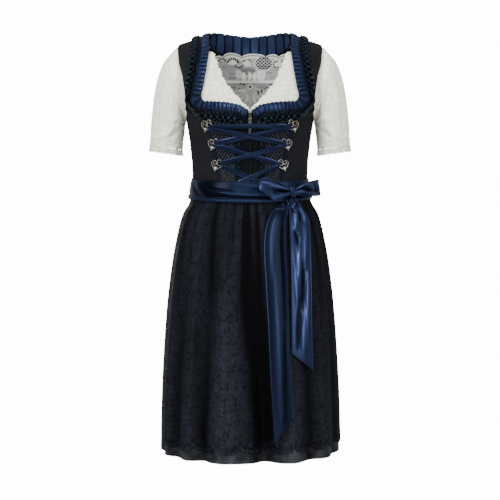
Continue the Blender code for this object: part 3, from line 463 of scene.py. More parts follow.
    def flower_lines(self, cell: float, petal: float, petals: float, line: float) -> Socket:
        """Small flowers drawn in outline, with a ring at the heart and a vein to each petal.

        Args:
            cell: Mean distance between flowers.
            petal: Radius of a flower.
            petals: How many petals it has.
            line: Half width of the lines, as a share of the radius.

        Returns:
            One on a line and zero beside it.
        """
        off, turned = self.strewn(cell, math.tau)
        wave = self.math("ABSOLUTE", self.math("COSINE", self.product(turned, petals / 2.0)))
        reach = self.scaled(wave, petal * 0.42, petal * 0.58)
        share = self.math("DIVIDE", self.length(off), reach)
        rings = [self.band(self.apart(share, ring), line * 0.5, line) for ring in (0.95, 0.32)]
        vein = self.product(self.band(share, 0.8, 0.9),
                            self.band(self.math("SUBTRACT", 1.0, wave), 0.01, 0.05))
        return self.most(*rings, vein)

    def vine_mask(self, scale: float, thickness: float) -> Socket:
        """Thin wandering stems over the cloth."""
        value = self.noise(scale, 1.5)
        return self.band(self.apart(value, 0.5), thickness * 0.6, thickness)


@dataclass(frozen=True)
class Look:
    """A finished material, and the name of its slot."""

    material: bpy.types.Material
    slot: str


class Finish:
    """What all finishes share: a name, a slot's name and the making of the material."""

    name: str
    slot: str

    def paint(self, paint: Paint) -> None:
        """Paint the material, each finish in its own way."""
        raise NotImplementedError

    def look(self) -> Look:
        """The finished material with its slot."""
        paint = Paint(self.name)
        self.paint(paint)
        return Look(paint.material, self.slot)


@dataclass(frozen=True)
class RibbedCotton(Finish):
    """Plain black bodice cloth with a fine upright rib."""

    name: str = "bodice_cotton"
    slot: str = "bodice"
    colour: Colour = (0.0048, 0.0051, 0.0066)
    light: Colour = (0.0082, 0.0088, 0.011)
    rib: float = 0.0022

    def paint(self, paint: Paint) -> None:
        """Paint the cloth."""
        across = paint.node("SeparateXYZ", {0: paint.cloth()}).outputs[0]
        rib = paint.math("SINE", paint.product(across, math.tau / self.rib))
        shade = paint.scaled(rib, 0.12, paint.noise(160.0))
        paint.join(paint.mix(shade, self.colour, self.light), "Base Color")
        paint.set(Roughness=0.72, Specular_IOR_Level=0.07)
        paint.bump(rib, 0.00012)
        paint.bump(paint.noise(1800.0), 0.0001, 0.6)


@dataclass(frozen=True)
class RingBrocade(Finish):
    """Black centre cloth with small woven rings and faint upright stripes."""

    name: str = "ring_brocade"
    slot: str = "brocade"
    colour: Colour = (0.0024, 0.0026, 0.0038)
    ring: Colour = (0.068, 0.073, 0.092)
    pitch: float = 0.0108
    radius: float = 0.17
    line: float = 0.085

    def paint(self, paint: Paint) -> None:
        """Paint the cloth."""
        rings = paint.most(*(
            paint.band(paint.apart(paint.length(paint.cells(self.pitch, shift)), self.radius),
                       self.line * 0.6, self.line) for shift in (0.0, 0.5)))
        worn = paint.band(paint.noise(420.0), 0.44, 0.58)
        rings = paint.product(paint.product(rings, worn), paint.light_and_pattern())
        paint.join(paint.mix(rings, self.colour, self.ring), "Base Color")
        paint.set(Roughness=0.58, Specular_IOR_Level=0.04)
        paint.bump(rings, 0.00025)
        paint.bump(paint.noise(1500.0), 0.0001, 0.6)


@dataclass(frozen=True)
class Satin(Finish):
    """Navy satin ribbon with a long soft gloss along its threads, and painted light, shade and
    highlights from its piece.
    """

    name: str = "navy_satin"
    slot: str = "satin"
    colour: Colour = (0.021, 0.031, 0.079)
    # Painted shade: the colour where the piece's painted light is zero, in its hollows and
    # creases.
    deep: Colour = (0.0012, 0.0023, 0.0062)
    metallic: float = 0.5
    roughness: float = 0.29
    # A painted highlight, mixed in where the piece's painted light goes above one.
    painted_highlight: Colour = (0.058, 0.085, 0.2)

    def paint(self, paint: Paint) -> None:
        """Paint the ribbon."""
        stretched = paint.vector("MULTIPLY", paint.cloth(), (1.0, 14.0, 1.0))
        threads = paint.noise(260.0, 2.0, stretched)
        # The satin is mixed from painted shade to its colour by the piece's painted light, with
        # random clouds, and on to a painted highlight above one.
        cloudy = paint.scaled(paint.noise(38.0, 2.0), 0.3, 0.8)
        lit = paint.product(paint.light_and_pattern(), cloudy)
        painted_highlight_share = paint.math("SUBTRACT", paint.light_and_pattern(), 1.0)
        cloth = paint.mix(lit, self.deep, self.colour)
        paint.join(paint.mix(painted_highlight_share, cloth, self.painted_highlight), "Base Color")
        paint.set(Metallic=self.metallic, Roughness=self.roughness, Specular_IOR_Level=0.04)
        paint.bump(threads, 0.00008, 0.5)


@dataclass(frozen=True)
class DottedJacquard(Finish):
    """Black skirt cloth with small woven dots, painted shade in its fold hollows and painted light
    and sheen on its folds.
    """

    name: str = "dotted_jacquard"
    slot: str = "skirt"
    # Painted shade in the hollows of the folds, and the cloth painted lit on their ridges; the
    # dots are woven.
    fold: Colour = (0.001, 0.0011, 0.0015)
    lit_ridge: Colour = (0.006, 0.0067, 0.0096)
    dot: Colour = (0.28, 0.295, 0.345)
    pitch: float = 0.0082
    radius: float = 0.19

    def paint(self, paint: Paint) -> None:
        """Paint the cloth."""
        dots = paint.most(*(
            paint.band(paint.length(paint.cells(self.pitch, shift)), self.radius * 0.75,
                       self.radius) for shift in (0.0, 0.5)))
        light_and_pattern = paint.light_and_pattern()
        # The dots show in random patches, and brighter as a painted sheen where the painted light
        # is high.
        cloudy = paint.product(dots, paint.band(paint.noise(30.0), 0.75, 0.3))
        cloudy = paint.product(cloudy, paint.scaled(light_and_pattern, 0.7, 0.3))
        cloth = paint.mix(light_and_pattern, self.fold, self.lit_ridge)
        paint.join(paint.mix(cloudy, cloth, self.dot), "Base Color")
        paint.set(Roughness=0.5, Specular_IOR_Level=0.05)
        paint.bump(dots, 0.0003)


@dataclass(frozen=True)
class SprigLace(Finish):
    """Dark navy apron lace: outlined flowers and thin stems on a fine net."""

    name: str = "sprig_lace"
    slot: str = "apron"
    # The colour of painted shade in the hollows of the gathers and folds.
    fold: Colour = (0.0006, 0.0007, 0.001)
    ground: Colour = (0.0028, 0.0033, 0.0054)
    sprig: Colour = (0.029, 0.0315, 0.045)
    flower: float = 0.0115
    spread: float = 0.031
    net: float = 0.0026

    def paint(self, paint: Paint) -> None:
        """Paint the lace."""
        big = paint.flower_lines(self.spread, self.flower, 5.0, 0.17)
        small = paint.flower_lines(self.spread * 0.42, self.flower * 0.45, 4.0, 0.26)
        stems = paint.vine_mask(78.0, 0.03)
        motif = paint.most(big, small, stems)
        threads = paint.band(paint.length(paint.cells(self.net)), 0.3, 0.44)
        grain = paint.noise(1100.0, 2.0)
        fine = paint.scaled(threads, -0.1, paint.product(grain, 0.34))
        cloud = paint.scaled(paint.noise(24.0, 2.0), 0.4, fine)
        shade = paint.math("SUBTRACT", paint.scaled(motif, 0.34, cloud), 0.25)
        light_and_pattern = paint.light_and_pattern()
        lace = paint.mix(paint.math("MAXIMUM", shade, 0.0), self.ground, self.sprig)
        # Painted shade: the lace darkens towards that colour where the piece's painted light is
        # low.
        paint.join(paint.mix(paint.product(light_and_pattern, 1.25), self.fold, lace), "Base Color")
        paint.set(Roughness=0.66, Specular_IOR_Level=0.035)
        paint.bump(motif, 0.0004, 0.8)
        paint.bump(threads, -0.0002, 0.5)


@dataclass(frozen=True)
class WhiteLace(Finish):
    """Off-white blouse lace, flowers and stems on a close ground, over thin cotton."""

    name: str
    slot: str
    ground: Colour
    thread: Colour
    flower: float = 0.006
    spread: float = 0.017
    relief: float = 0.0004
    clear: float = 0.12

    def paint(self, paint: Paint) -> None:
        """Paint the lace."""
        big = paint.flower_mask(self.spread, self.flower, 6.0)
        small = paint.flower_mask(self.spread * 0.5, self.flower * 0.5, 5.0)
        stems = paint.vine_mask(70.0, 0.05)
        motif = paint.most(big, small, stems)
        shade = paint.scaled(paint.noise(300.0), 0.35, paint.product(motif, 0.75))
        paint.join(paint.mix(shade, self.ground, self.thread), "Base Color")
        paint.set(Roughness=0.82, Subsurface_Weight=self.clear, Subsurface_Scale=0.004,
                  Sheen_Weight=0.2, Sheen_Roughness=0.6)
        paint.bump(motif, self.relief)
        paint.bump(paint.noise(1200.0), 0.00015, 0.7)


@dataclass(frozen=True)
class DrawnLace(Finish):
    """Grey-white lace whose motifs are drawn on the piece itself."""

    name: str = "back_lace"
    slot: str = "lace"
    hollow: Colour = (0.06, 0.064, 0.074)
    net: Colour = (0.3, 0.315, 0.325)
    thread: Colour = (0.93, 0.93, 0.88)

    def paint(self, paint: Paint) -> None:
        """Paint the lace."""
        light_and_pattern = paint.scaled(paint.noise(520.0), 0.3, paint.light_and_pattern())
        light_and_pattern = paint.math("SUBTRACT", light_and_pattern, 0.15)
        low = paint.product(light_and_pattern, 2.0)
        high = paint.math("SUBTRACT", low, 1.0)
        paint.join(paint.mix(high, paint.mix(low, self.hollow, self.net), self.thread),
                   "Base Color")
        paint.set(Roughness=0.85)
        paint.bump(paint.noise(1500.0), 0.0002, 0.7)


@dataclass(frozen=True)
class AntiqueSilver(Finish):
    """Silver with dark patina in its hollows."""

    name: str = "antique_silver"
    slot: str = "metal"
    bright: Colour = (0.56, 0.53, 0.47)
    dark: Colour = (0.06, 0.052, 0.044)
    roughness: float = 0.3

    def paint(self, paint: Paint) -> None:
        """Paint the metal."""
        where = paint.node("TexCoord").outputs["Object"]
        patina = paint.band(paint.noise(900.0, 4.0, where), 0.35, 0.62)
        paint.join(paint.mix(patina, self.bright, self.dark), "Base Color")
        paint.set(Metallic=1.0)
        paint.join(paint.scaled(patina, 0.22, self.roughness), "Roughness")
        paint.bump(paint.noise(2500.0, 2.0, where), 0.00006, 0.5)


@dataclass(frozen=True)
class DarkCoil(Finish):
    """Black nylon of the zip's teeth."""

    name: str = "dark_coil"
    slot: str = "metal"
    colour: Colour = (0.0042, 0.0045, 0.006)

    def paint(self, paint: Paint) -> None:
        """Paint the teeth."""
        paint.set(Base_Color=(*self.colour, 1.0), Roughness=0.42, Specular_IOR_Level=0.18)


@dataclass(frozen=True)
class PaleStone(Finish):
    """A small pale green glass stone."""

    name: str = "pale_stone"
    slot: str = "metal"
    colour: Colour = (0.42, 0.62, 0.56)

    def paint(self, paint: Paint) -> None:
        """Paint the stone."""
        where = paint.node("TexCoord").outputs["Object"]
        paint.join(paint.mix(paint.noise(700.0, 2.0, where), self.colour, (0.75, 0.86, 0.8)),
                   "Base Color")
        paint.set(Roughness=0.12, Coat_Weight=0.6, Coat_Roughness=0.05)


@dataclass(frozen=True)
class FloorPaper(Finish):
    """Plain pale floor."""

    name: str = "floor_paper"
    slot: str = "floor"
    colour: Colour = (0.9, 0.9, 0.9)

    def paint(self, paint: Paint) -> None:
        """Paint the floor."""
        paint.set(Base_Color=(*self.colour, 1.0), Roughness=0.9)


class Finishes:
    """All finishes of the set, made once."""

    def __init__(self) -> None:
        """Make each finish."""
        self.cotton = RibbedCotton().look()
        self.brocade = RingBrocade().look()
        self.satin = Satin().look()
        self.piping = Satin("piping_satin", colour=(0.0045, 0.008, 0.021),
                            deep=(0.002, 0.004, 0.01)).look()
        self.ruche = Satin("teal_ruche", "ruche", (0.013, 0.03, 0.045),
                           (0.0004, 0.0008, 0.0014), 0.45, 0.33).look()
        self.jacquard = DottedJacquard().look()
        self.apron = SprigLace().look()
        self.blouse = WhiteLace("blouse_lace", "blouse", (0.7, 0.68, 0.53), (1.0, 0.99, 0.84),
                                flower=0.0078, spread=0.021, relief=0.0008).look()
        self.cuff = WhiteLace("cuff_lace", "lace", (0.56, 0.545, 0.43), (0.95, 0.93, 0.78),
                              relief=0.0007).look()
        self.back_lace = DrawnLace().look()
        self.silver = AntiqueSilver().look()
        self.zip_metal = AntiqueSilver("zip_metal", bright=(0.09, 0.087, 0.08),
                                       dark=(0.012, 0.011, 0.01), roughness=0.34).look()
        self.coil = DarkCoil().look()
        self.stone = PaleStone().look()


@dataclass
class Sheet:
    """A grid of cloth points with the piece that it becomes, in the place of its solid."""

    name: str
    outer: Array
    look: Look
    held: Held
    rests_on: tuple[str, ...] = ()
    thickness: float = 0.0012
    closed: bool = False
    fuller: float = 1.0
    holes: Array | None = None
    inside: Array | None = None
    # Painted light and shade of each point, which its finish mixes into the colour; on the lace
    # back and the brocade, the pattern.
    light_and_pattern: Array | None = None

    def flat_places(self) -> tuple[Array, Array]:
        """Flat places of each column and each row, measured along the cloth.

        Returns:
            Places along the widest row and down the longest column.
        """
        ring = self.outer
        if self.closed:
            ring = np.concatenate([ring, ring[:, :1]], axis=1)
        across = np.linalg.norm(np.diff(ring, axis=1), axis=2).sum(axis=1)
        down = np.linalg.norm(np.diff(self.outer, axis=0), axis=2).sum(axis=0)
        return (distances(ring[np.argmax(across)]) * self.fuller,
                distances(self.outer[:, np.argmax(down)]))

    def build(self) -> bpy.types.Object:
        """Returns:
            The piece, which rides on the garment and stands for its solids.
        """
        rows, columns = self.outer.shape[:2]
        inner = self.inside
        if inner is None:
            inner = self.outer - self.normals() * self.thickness
        points = np.concatenate([self.outer.reshape(-1, 3), inner.reshape(-1, 3)])
        far = rows * columns
        spans = columns if self.closed else columns - 1
        row, here = np.meshgrid(np.arange(rows - 1), np.arange(spans), indexing="ij")
        kept = np.ones(row.shape, bool) if self.holes is None else ~self.holes
        row, here = row[kept], here[kept]
        beside = (here + 1) % columns
        corners = [(row, here), (row, here + 1), (row + 1, here + 1), (row + 1, here)]
        index = np.stack([row * columns + here, row * columns + beside,
                          (row + 1) * columns + beside, (row + 1) * columns + here], axis=1)
        faces = [index, index[:, ::-1] + far]
        along, down = self.flat_places()
        flat = np.stack([np.stack([along[c], down[r]], axis=-1) for r, c in corners], axis=1)
        maps = [flat, flat[:, ::-1]]
        rim_faces, rim_maps = self.rims(kept, index, flat, far)
        faces.append(rim_faces)
        maps.append(rim_maps)
        piece = self.add_mesh(points, np.concatenate(faces), np.concatenate(maps))
        self.declare(piece, along, down)
        return piece

    def normals(self) -> Array:
        """Outward normals of the cloth."""
        return outward(self.outer, self.closed)

    def rims(self, kept: Array, index: Array, flat: Array, far: int) -> tuple[Array, Array]:
        """The narrow faces along each free edge, round the holes too.

        Args:
            kept: Which cells of the grid are cloth.
            index: Corner points of each cell that is cloth.
            flat: Flat places of the same corners.
            far: How many points lie on one face of the cloth.

        Returns:
            The faces and their flat places.
        """
        number = np.full(kept.shape, -1)
        number[kept] = np.arange(len(index))
        shifts = (((-1, 0), 0, 1), ((0, 1), 1, 2), ((1, 0), 2, 3), ((0, -1), 3, 0))
        faces, maps = [], []
        for (up, aside), first, second in shifts:
            other = np.full(kept.shape, False)
            rows, columns = kept.shape
            for_row = np.arange(rows) + up
            for_column = np.arange(columns) + aside
            if self.closed:
                for_column = for_column % columns
            good_row = (for_row >= 0) & (for_row < rows)
            good_column = (for_column >= 0) & (for_column < columns)
            window = kept[np.ix_(for_row[good_row], for_column[good_column])]
            other[np.ix_(good_row, good_column)] = window
            edge = number[kept & ~other]
            a, b = index[edge, first], index[edge, second]
            faces.append(np.stack([b, a, a + far, b + far], axis=1))
            near, next_one = flat[edge, first], flat[edge, second]
            maps.append(np.stack([next_one, near, near, next_one], axis=1))
        return np.concatenate(faces), np.concatenate(maps)

    def add_mesh(self, points: Array, faces: Array, maps: Array) -> bpy.types.Object:
        """Make the mesh object with its flat map and finish.

        Args:
            points: All points, the outer face's first.
            faces: Four points for each face.
            maps: Flat places of the same corners.

        Returns:
            The piece.
        """
        used, renumbered = np.unique(faces, return_inverse=True)
        faces = renumbered.reshape(faces.shape)
        mesh = bpy.data.meshes.new(self.name)
        mesh.from_pydata(points[used].tolist(), [], faces.tolist())
        # The painted light and shade of each point, and the pattern where the piece has one, go
        # into a mesh attribute.
        drawn = np.ones(self.outer.shape[:2]) if self.light_and_pattern is None else self.light_and_pattern
        drawn = np.broadcast_to(drawn, self.outer.shape[:2]).reshape(-1)
        values = mesh.attributes.new("light_and_pattern", "FLOAT", "POINT")
        values.data.foreach_set("value", np.concatenate([drawn, drawn])[used].astype(np.float32))
        layer = mesh.uv_layers.new(name="cloth")
        layer.data.foreach_set("uv", maps.reshape(-1).astype(np.float32))
        mesh.materials.append(self.look.material)
        mesh.update()
        build = bmesh.new()
        build.from_mesh(mesh)
        if build.calc_volume(signed=True) < 0:
            bmesh.ops.reverse_faces(build, faces=build.faces)
        build.to_mesh(mesh)
        build.free()
        mesh.shade_smooth()
        mesh.set_sharp_from_angle(angle=CLOTH_EDGE)
        return placed(self.name, mesh)

    def declare(self, piece: bpy.types.Object, along: Array, down: Array) -> None:
        """Say what the piece rides on, stands for and was cut from.

        Args:
            piece: The finished piece.
            along: Flat places of the columns.
            down: Flat places of the rows.
        """
        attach(piece, GARMENT)
        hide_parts(self.name)
        width, length = float(along[-1]), float(down[-1])
        area = min(self.area() * self.fuller, width * length)
        area = max(area, LEAST_AREA * width * length)
        LOG.info("%s: cut %.3f x %.3f m", self.name, width, length)

    def area(self) -> float:
        """Area of one face of the cloth."""
        grid = self.outer
        if self.closed:
            grid = np.concatenate([grid, grid[:, :1]], axis=1)
        across = grid[1:, 1:] - grid[:-1, :-1]
        other = grid[1:, :-1] - grid[:-1, 1:]
        cells = np.linalg.norm(np.cross(across, other), axis=2) / 2.0
        if self.holes is not None:
            cells = cells * ~self.holes
        return float(cells.sum())


def trim(name: str, build: Build, look: Look, nodes: tuple[str, ...] = (),
         body: str = GARMENT, sharp: float = math.pi) -> None:
    """Make a piece that isn't cloth.

    Args:
        name: The piece's name.
        build: Its mesh as it was built.
        look: Its finish.
        nodes: The solids that it stands for.
        body: The body that it rides on.
        sharp: The least angle of an edge that stays sharp.
    """
    mesh = bpy.data.meshes.new(name)
    bmesh.ops.recalc_face_normals(build, faces=build.faces)
    build.to_mesh(mesh)
    build.free()
    mesh.shade_smooth()
    mesh.set_sharp_from_angle(angle=sharp)
    mesh.materials.append(look.material)
    piece = placed(name, mesh)
    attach(piece, body)
    if nodes:
        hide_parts(*nodes)
    LOG.info("%s: %d faces", name, len(mesh.polygons))


@dataclass(frozen=True)
class Figure:
    """The hollow form that the bodice and the blouse are laid on.

    A place on it is an angle round it (0 at the front centre) and a nominal height, which is
    the real one up to the chest and runs on to 0 at the shoulder ridge.
    """

    chest: float = -0.1
    ridge_at_neck: float = 0.0303
    ridge_slope: float = 0.331
    ridge_y: float = 0.01
    shoulder: float = 2.2
    cup_x: float = 0.075
    cup_height: float = -0.186
    cup_spread: float = 0.038
    cup_rise: float = 0.009
    step: float = 0.004
    turn: float = 0.016
    ridge_band: float = 0.0042
    levels: Rows = (
        (-0.4, 0.139, 0.106, 0.098, 2.2), (-0.345, 0.1335, 0.101, 0.092, 2.2),
        (-0.3, 0.1352, 0.105, 0.093, 2.2), (-0.25, 0.1405, 0.116, 0.097, 2.25),
        (-0.205, 0.1478, 0.126, 0.101, 2.3), (-0.17, 0.155, 0.125, 0.104, 2.5),
        (-0.135, 0.1605, 0.115, 0.107, 2.8), (-0.1, 0.165, 0.104, 0.107, 3.0),
        (-0.06, 0.172, 0.104, 0.107, 3.0), (0.0, 0.178, 0.104, 0.107, 3.0),
    )

    def ridge(self, x: Array) -> Array:
        """Real height of the shoulder ridge at this x."""
        return self.ridge_at_neck - self.ridge_slope * np.abs(x)

    def nominal(self, x: Array, z: Array) -> Array:
        """The nominal height of a real height at this x."""
        share = (z - self.chest) / (self.ridge(x) - self.chest)
        return np.where(z > self.chest, self.chest * (1.0 - share), z)

    def form(self, angle: Array, height: Array) -> Array:
        """Points of the form.

        Args:
            angle: Angles in radians.
            height: Nominal heights.

        Returns:
            A point for each pair.
        """
        angle, height = np.broadcast_arrays(np.asarray(angle, float), np.asarray(height, float))
        power = 2.0 / column(self.levels, height, value=4)
        side, ahead = np.sin(angle), np.cos(angle)
        x = column(self.levels, height) * np.sign(side) * np.abs(side) ** power
        front = column(self.levels, height, value=2)
        back = column(self.levels, height, value=3)
        depth = np.where(ahead > 0, -front, back) * np.abs(ahead) ** power
        cup = ((np.abs(x) - self.cup_x) / self.cup_spread) ** 2
        cup = cup + ((height - self.cup_height) / self.cup_spread) ** 2
        depth = depth - np.where(ahead > 0, self.cup_rise * np.exp(-cup) * np.abs(ahead), 0.0)
        rise = np.clip((height - self.chest) / -self.chest, 0.0, 1.0)
        closing = (1.0 - rise ** self.shoulder) ** (1.0 / self.shoulder)
        lifted = self.chest + rise * (self.ridge(x) - self.chest)
        z = np.where(height > self.chest, lifted, height)
        return np.stack([x, self.ridge_y * rise + depth * closing, z], axis=-1)

    def angle_at(self, x: Array, height: Array, back: bool = False) -> Array:
        """The angle at which the form has this x at this nominal height.

        Args:
            x: Distances from the middle line.
            height: Nominal heights.
            back: Whether the places lie on the back.

        Returns:
            The angles in radians.
        """
        share = np.clip(np.abs(x) / column(self.levels, height), 0.0, 1.0)
        power = column(self.levels, height, value=4) / 2.0
        angle = np.arcsin(share ** power) * np.sign(x)
        if back:
            return np.where(np.asarray(x) < 0, -math.pi, math.pi) - angle
        return angle

    def laid(self, angle: Array, height: Array, out: Array) -> Array:
        """Points a distance out from the form.

        Args:
            angle: Angles in radians.
            height: Nominal heights.
            out: Distances along the form's normal.

        Returns:
            A point for each place.
        """
        angle, height = np.broadcast_arrays(np.asarray(angle, float), np.asarray(height, float))
        low = np.minimum(height, -self.ridge_band)
        round_it = self.form(angle + self.turn, low) - self.form(angle - self.turn, low)
        up_it = self.form(angle, low + self.step) - self.form(angle, low - self.step)
        normal = np.cross(round_it, up_it)
        normal /= np.linalg.norm(normal, axis=-1, keepdims=True)
        over = np.clip((height + self.ridge_band) / self.ridge_band, 0.0, 1.0)[..., None]
        normal = normal * (1.0 - over) + np.array([0.0, 0.0, 1.0]) * over
        normal /= np.linalg.norm(normal, axis=-1, keepdims=True)
        return self.form(angle, height) + normal * np.asarray(out, float)[..., None]

    def at(self, line: Array, out: Array, back: bool = False) -> Array:
        """Points out from places given as x and nominal height."""
        return self.laid(self.angle_at(line[..., 0], line[..., 1], back), line[..., 1], out)


FIGURE = Figure()


@dataclass
class Bodice:
    """The dress bodice: brocade centre fronts and plain side fronts, side backs and back."""

    finishes: Finishes
    out: float = 0.0034
    cloth: float = 0.002
    waist: float = -0.362
    zip_half: float = 0.0029
    seam_gap: float = 0.0003
    rows: int = 82
    columns: int = 25
    # The form's mean width, which turns half the seam gap into an angle.
    mean_width: float = 0.24
    seam_depth: float = 0.0009
    seam_half: float = 0.0022
    plain_centre: float = 0.029
    plain_soft: float = 0.01
    neck_side: Rows = (
        (-0.15, 0.113), (-0.142, 0.112), (-0.128, 0.108), (-0.09, 0.101), (-0.037, 0.093),
        (0.0, 0.096),
    )
    neck_bottom: Rows = (
        (0.0, -0.183), (0.01, -0.177), (0.022, -0.1695), (0.056, -0.164), (0.1, -0.16),
        (0.1075, -0.158), (0.1118, -0.1545), (0.113, -0.15),
    )
    princess: Rows = (
        (-0.362, 0.066), (-0.3075, 0.074), (-0.2585, 0.0825), (-0.215, 0.095), (-0.175, 0.109),
        (-0.15, 0.113),
    )
    armhole: Rows = (
        (-0.2, 0.0, 0.0), (-0.197, 9.0, 9.0), (-0.19, 14.0, 15.0), (-0.18, 17.0, 19.0),
        (-0.16, 21.0, 23.0), (-0.135, 23.0, 26.0), (-0.1, 23.2, 28.0), (-0.06, 20.5, 25.0),
        (0.0, 21.0, 21.0),
    )
    back_neck: Rows = (
        (0.0, -0.055), (0.05, -0.048), (0.075, -0.039), (0.088, -0.03), (0.0935, -0.022),
        (0.0955, -0.012), (0.096, 0.0),
    )
    back_seam: Rows = ((-0.362, 0.048), (-0.25, 0.058), (-0.15, 0.076), (-0.022, 0.0935))
    # Soft creases, in metres along and down each panel from its lower inner corner.
    side_creases: Rows = (
        (0.012, 0.01, 0.048, 0.026, 0.0045, -0.0012), (0.02, 0.03, 0.056, 0.052, 0.0055, 0.001),
        (0.058, 0.12, 0.034, 0.15, 0.006, 0.0011), (0.056, 0.135, 0.026, 0.176, 0.005, -0.001),
        (0.05, 0.158, 0.03, 0.205, 0.006, 0.0009),
    )
    back_creases: Rows = (
        (0.01, 0.014, 0.06, 0.03, 0.006, -0.0014), (0.018, 0.04, 0.07, 0.05, 0.007, 0.0012),
        (0.012, 0.07, 0.058, 0.084, 0.007, -0.001), (0.06, 0.18, 0.03, 0.23, 0.007, 0.0012),
    )

    def outer_edge(self, height: Array, back: bool = False, wider: float = 0.0) -> Array:
        """Angle of the side seam and, above it, of the armhole's edge.

        Args:
            height: Nominal heights.
            back: Whether it is a back's edge.
            wider: Degrees by which the edge runs further out.

        Returns:
            The angles in radians.
        """
        turn = column(self.armhole, height, value=2 if back else 1)
        turn = np.maximum(turn - wider * (height > self.armhole[0][0]), 0.0)
        return np.radians(90.0 + turn if back else 90.0 - turn)

    def front_inner_edge(self, height: Array) -> Array:
        """Angle of the princess seam and, above it, of the neckline."""
        x = np.where(height < self.princess[-1][0], column(self.princess, height),
                     column(self.neck_side, height))
        return FIGURE.angle_at(x, height) + self.gap_angle()

    def back_inner_edge(self, height: Array) -> Array:
        """Angle of the back seam and, above it, of the back neckline."""
        x = np.where(height < self.back_seam[-1][0], column(self.back_seam, height),
                     column(self.back_neck, height, key=1, value=0))
        return FIGURE.angle_at(x, height, back=True) - self.gap_angle()

    def gap_angle(self) -> float:
        """Half the seam gap as an angle."""
        return self.seam_gap / self.mean_width

    def apart(self, back: bool) -> float:
        """How far in y the fronts and the backs stand from the line of the side seam."""
        return self.seam_gap / 2 if back else -self.seam_gap / 2

    def places(self, low: float, top: object, left: object, right: object) -> tuple[Array, Array]:
        """Angles and heights of one panel.

        Args:
            low: Height of its lower edge.
            top: Gives the height of its top edge at a share of its width.
            left: Gives the angle of its first edge at a height.
            right: Gives the angle of its last edge at a height.

        Returns:
            The angles and the heights, in rows and columns.
        """
        across = shares(self.columns)
        heights = np.stack([low + (top(part) - low) * shares(self.rows) for part in across],
                           axis=1)
        start, end = left(heights), right(heights)
        return start + (end - start) * across[None, :], heights

    def panel(self, name: str, places: tuple[Array, Array], side: Side,
              look: Look, relief: Rows, back: bool = False) -> None:
        """Build one panel.

        Args:
            name: Its name, also that of its solid.
            places: Its angles and heights on the right half.
            side: The half that it lies on.
            look: Its finish.
            relief: Its soft creases.
            back: Whether it lies on the back.
        """
        angles, heights = places
        base = FIGURE.laid(angles, heights, np.full(angles.shape, self.out))
        widths = np.linalg.norm(np.diff(base, axis=1), axis=2).cumsum(axis=1)
        along = np.concatenate([np.zeros((len(base), 1)), widths], axis=1)
        from_edge = np.minimum(along, along[:, -1:] - along)
        out = self.out - self.seam_depth * bell(from_edge / self.seam_half)
        out = out + creases(relief, along, heights - heights[0])
        grid = flipped(FIGURE.laid(angles, heights, out), side)
        grid[..., 1] += self.apart(back)
        light_and_pattern = np.clip((np.abs(grid[..., 0]) - self.plain_centre) / self.plain_soft, 0.0, 1.0)
        Sheet(name, grid[::-1], look, Held.STRETCHED, ("neck_piping_back",), self.cloth,
              light_and_pattern=light_and_pattern[::-1]).build()

    def build(self) -> None:
        """Build all panels of the bodice."""
        corner_x, back_x = self.princess[-1][1], self.back_seam[-1][1]
        centre = self.places(
            self.waist,
            lambda part: column(self.neck_bottom,
                                self.zip_half + (corner_x - self.zip_half) * part),
            lambda height: FIGURE.angle_at(np.full(height.shape, self.zip_half), height),
            lambda height: FIGURE.angle_at(column(self.princess, height), height)
            - self.gap_angle())
        front = self.places(self.waist, lambda part: 0.0, self.front_inner_edge, self.outer_edge)
        rear = self.places(self.waist, lambda part: 0.0,
                           lambda height: self.outer_edge(height, back=True),
                           self.back_inner_edge)
        for side in Side:
            self.panel(f"centre_front_{side.hand}", centre, side, self.finishes.brocade, ())
            self.panel(f"side_front_{side.hand}", front, side, self.finishes.cotton,
                       self.side_creases)
            self.panel(f"side_back_{side.hand}", rear, side, self.finishes.cotton,
                       self.back_creases, back=True)
        centre_back = self.places(
            self.waist,
            lambda part: column(self.back_neck, abs(back_x * (2.0 * part - 1.0))),
            lambda height: self.back_inner_edge(height) + 2.0 * self.gap_angle(),
            lambda height: math.tau - self.back_inner_edge(height) - 2.0 * self.gap_angle())
        self.panel("centre_back", centre_back, Side.RIGHT, self.finishes.cotton,
                   self.back_creases, back=True)


